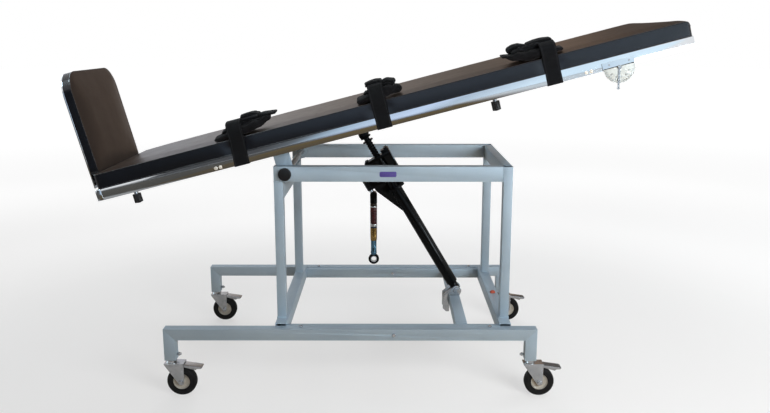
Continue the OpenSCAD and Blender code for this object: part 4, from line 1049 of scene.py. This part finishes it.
# Its hinge's knuckles, the strip above them with two screws, and the pointer's boss
KNUCKLES, HINGE_LEN = 9, 0.098
starts = [DIAL.x + HINGE_LEN * (k / KNUCKLES - 0.5) + 0.0006 for k in range(KNUCKLES)]
parts = [tube([(x, FACE_Y - 0.0002, DIAL.z + 0.0032) for x in (x0, x0 + 0.0096)], 0.0011)
         for x0 in starts]
add("dial_hinge", join(parts), "black_plastic", "table", TABLE, 40)
bm = bmesh.new()
bmesh.ops.create_cube(bm, size=1, matrix=shift(DIAL.x, STRIP_Y, -RAIL_LOW + 0.0136)
                      @ Matrix.Diagonal((0.1046, 0.0024, 0.0212, 1)))
bmesh.ops.bevel(bm, geom=bm.edges[:], offset=0.0006, segments=2, affect="EDGES")
strip = [p.co.copy() for p in bm.verts], [[c.index for c in face.verts] for face in bm.faces]
bm.free()
add("dial_strip", strip, "chrome", "table", TABLE, 30)
screw = lathe(((0, -0.0004), (0.0026, -0.0004), (0.0028, 0.0002), (0.0016, 0.0009),
               (0.0006, 0.0009), (0.0004, 0.0005), (0, 0.0005)), 24)
screws = [move(screw, shift(DIAL.x + du, STRIP_Y - 0.0012, -RAIL_LOW + 0.015) @ spin(90, "X"))
          for du in (-0.03, 0.034)]
add("dial_strip_screws", join(screws), "axle_steel", "table", TABLE, 30)
boss_rows = ((0, -0.0002), (0.0058, -0.0002), (0.0062, 0.0006), (0.005, 0.0016), (0, 0.0019))
add("dial_boss", lathe(boss_rows, 36), "zinc", "pointer",
    TABLE @ shift(DIAL.x, FACE_Y - 0.0023, DIAL.z) @ spin(90, "X"), 34)


# ---- welds
def bead(corners, radius, seed, closed=False, step=0.0035):
    """A weld bead along straight runs between corners, rippled and not quite even."""
    pts = []
    ends = corners + [corners[0]] if closed else corners
    for a, b in zip(ends, ends[1:]):
        a, b = Vector(a), Vector(b)
        n = max(2, round((b - a).length / step))
        for i in range(n):
            dx = noise.noise((a + b) * 40 + Vector((i, seed, 0)))
            dz = noise.noise((a - b) * 40 + Vector((0, seed, i)))
            pts.append(a.lerp(b, i / n) + 0.0003 * Vector((dx, 0, dz)))
    if not closed:
        pts.append(Vector(corners[-1]))
    return tube(pts, radius, 8, closed, 0.13, seed)


LOW_Z, TOP_Z, FACE_Z = 0.2454, 0.7176, 0.7184
HEAD_X = BOX_X + BOX_LEN - LEG
parts = []
for side in (-1, 1):
    y0, y1 = sorted((side * (BOX_HALF - TUBE), side * BOX_HALF))
    for x0, z, radius, seed in ((BOX_X, LOW_Z, 0.0019, BOX_X * 9 + side),
                                (HEAD_X, LOW_Z, 0.0019, HEAD_X * 9 + side),
                                (BOX_X, TOP_Z, 0.0016, side)):
        loop = [(x0, y0, z), (x0 + LEG, y0, z), (x0 + LEG, y1, z), (x0, y1, z)]
        parts.append(bead(loop, radius, seed, closed=True))
    x, edge = HEAD_X - GAP, side * BOX_HALF
    parts.append(bead([(x, y0, FACE_Z), (x, y1, FACE_Z)], 0.0017, side + 4))
    parts.append(bead([(x, edge, FACE_Z), (x, edge, 0.7676)], 0.0013, side + 6))
    collar = [(PIVOT.x + x, side * (BOX_HALF + 0.0006), PIVOT.z + z)
              for x, z, _ in around(0.0252, 0, 44)]
    parts.append(tube(collar, 0.0013, 8, True, 0.14, side))
    b0, b1 = sorted((side * (BASE_HALF - TUBE), side * BASE_HALF))
    for x in (BASE_X + TUBE, BASE_X + BASE_LEN - TUBE):
        z = BASE_TOP - TUBE - GAP
        parts.append(bead([(x, b0, z), (x, b1, z)], 0.0016, x * 5 + side))
add("weld_beads", join(parts), "frame_paint", "base", ONE, 70)


# ---- stage, light, camera
FLOOR_TONE, FLOOR_WARM = (0.42, 0.42, 0.42, 1), (0.6, 0.41, 0.24, 1)
FLOOR_GLOW = ((0, 0.5), (1.2, 0.52), (2.6, 0.66), (4.5, 0.84), (8.0, 0.91), (12.0, 0.92))
GLOW_REACH, WORLD_FILL = 12.0, 0.24


def stage_floor():
    """A pale floor that grows to white far out, so no edge shows, and bounces warm light."""
    me = bpy.data.meshes.new("floor")
    verts, faces = lathe([(r, 0) for r in (30, 18, 11, 7, 4.5, 3, 2, 1.2, 0.6, 0)], 64)
    me.from_pydata(verts, [], faces)
    a = Mat("floor", (0.5, 0.5, 0.5, 1), 0.9)
    length = a.node("VectorMath", operation="LENGTH")
    a.link(a.place(), length.inputs[0])
    stops = [(at / GLOW_REACH, (value, value, value, 1)) for at, value in FLOOR_GLOW]
    glow = a.ramp(a.math("DIVIDE", length.outputs["Value"], GLOW_REACH), *stops, ease=True)
    seen = a.math("MAXIMUM", a.rays("Camera", "Transmission"),
                  a.math("MULTIPLY", a.rays("Glossy"), 0.3))
    emi = a.feed(a.node("Emission"), i0=glow, i1=seen)
    dif = a.feed(a.node("BsdfDiffuse"),
                 i0=a.mix(a.rays("Diffuse"), FLOOR_TONE, FLOOR_WARM))
    both = a.feed(a.node("AddShader"), i0=dif.outputs[0], i1=emi.outputs[0])
    a.surface(both.outputs[0])
    me.materials.append(a.m)
    stand("floor", me)


def card(name, corners, *stops, along="Y"):
    """A card that only reflections see; its colour runs up it, or along X."""
    me = bpy.data.meshes.new(name)
    me.from_pydata(corners, [], [(0, 1, 2, 3)])
    uv = me.uv_layers.new(name="UVMap")
    for loop, at in zip(me.loops, ((0, 0), (1, 0), (1, 1), (0, 1))):
        uv.data[loop.index].uv = at
    a = Mat(name, (0, 0, 0, 1), 1)
    stops = [(at, (*c, 1)) for at, c in stops]
    ramp = a.ramp(a.split(a.place(uv=True), along), *stops)
    a.surface(a.feed(a.node("Emission"), i0=ramp).outputs[0])
    me.materials.append(a.m)
    ob = stand(name, me)
    ob.visible_camera = ob.visible_diffuse = ob.visible_shadow = ob.visible_transmission = False


def lying(x0, x1, z, near=-1.4, far=-9.0):
    return [(x0, near, z), (x1, near, z), (x1, far, z), (x0, far, z)]


def upright(x0, y0, x1, y1, z0, z1):
    return [(x0, y0, z0), (x1, y1, z0), (x1, y1, z1), (x0, y0, z1)]


def world():
    """A room that looks white and lights dimly."""
    w = bpy.data.worlds.new("studio")
    bpy.context.scene.world = w
    w.use_nodes = True
    a = Nodes(w.node_tree)
    seen = a.rays("Camera", "Glossy", "Transmission")
    a.feed(a.t.nodes["Background"], i0=(1, 1, 1, 1), i1=a.span(seen, 0, 1, WORLD_FILL, 1))


def lamp(name, at, to, size, power, color=(1, 1, 1)):
    data = bpy.data.lights.new(name, "AREA")
    data.shape = "RECTANGLE"
    data.size, data.size_y = size
    data.energy = power
    data.color = color
    ob = stand(name, data)
    ob.visible_camera = ob.visible_glossy = False
    ob.location = at
    ob.rotation_euler = (Vector(to) - Vector(at)).to_track_quat("-Z", "Y").to_euler()


stage_floor()
world()
lamp("key", (1.9, -2.6, 1.5), (0.3, 0, 0.7), (1.6, 1.2), 72, (1, 1, 0.99))
lamp("fill", (-2.6, -2.2, 1.7), (-0.2, 0, 0.7), (1.8, 1.4), 5, (1, 0.98, 0.96))
lamp("side", (3.0, 1.2, 2.1), (0.1, 0, 0.8), (1.8, 1.4), 26, (0.95, 0.98, 1))
lamp("back", (-0.6, 3.2, 2.3), (0, 0, 0.7), (2.4, 1.4), 36)
card("floor_left", lying(-9, -1.5, 0.004), (0, (0.1, 0.095, 0.085)), (0.5, (0.12, 0.115, 0.105)),
     (0.7, (0.09, 0.09, 0.09)), (1, (0.06, 0.07, 0.08)))
card("floor_card", lying(-9, 9, 0.002), (0, (0.11, 0.09, 0.065)), (0.38, (0.17, 0.125, 0.06)),
     (0.52, (0.15, 0.12, 0.095)), (0.64, (0.28, 0.32, 0.38)), (0.86, (0.45, 0.58, 0.78)),
     (1, (0.5, 0.65, 0.9)))
card("floor_right", lying(1.3, 9, 0.004), (0, (0.1, 0.085, 0.07)), (0.06, (0.5, 0.5, 0.5)),
     (0.14, (0.74, 0.8, 0.84)), (1, (0.8, 0.9, 0.97)), along="X")
card("ceiling_card", lying(-2.3, -1.1, 3.1, -1.7, -0.5), (0, (9, 11, 12)), (1, (9, 11, 12)))
card("rim_right", upright(2.22, -2.2, 2.78, -1.5, 0.2, 1.1), (0, (12, 13.5, 14.5)),
     (1, (12, 13.5, 14.5)))
card("rim_left", upright(-3.7, 1.3, -2.8, 2.5, 0.7, 2.5), (0, (5, 6.4, 7)), (1, (5, 6.4, 7)))
card("wall_card", upright(-9, 6.5, 11, 6.5, 0, 8.0), (0.31, (0.66, 0.67, 0.72)),
     (0.36, (0.6, 0.57, 0.56)), (0.43, (0.38, 0.33, 0.3)), (0.49, (0.22, 0.18, 0.15)),
     (0.535, (0.34, 0.23, 0.165)), (0.565, (0.1, 0.078, 0.065)), (0.62, (0.09, 0.08, 0.075)),
     along="X")
card("window_card", upright(-9, -11.0, 9, -11.0, 0, 6.0), (0.24, (0.09, 0.092, 0.096)),
     (0.31, (0.16, 0.18, 0.2)), (0.37, (0.48, 0.62, 0.76)), (0.53, (0.8, 0.95, 1.2)),
     (0.59, (0.6, 0.72, 0.85)), (0.69, (0.78, 0.94, 1.08)), (0.76, (0.92, 1.12, 1.26)), along="X")

cam_data = bpy.data.cameras.new("camera")
cam_data.sensor_width = 36.0
cam_data.lens = 37.5
cam_data.clip_end = 100
cam = stand("camera", cam_data)
cam.location = (0.057, -2.9045, 1.1896)
cam.rotation_euler = (radians(90) - 0.2093, 0, 0.0024)
bpy.context.scene.camera = cam
bpy.context.scene.view_settings.view_transform = "Standard"

bpy.context.view_layer.update()
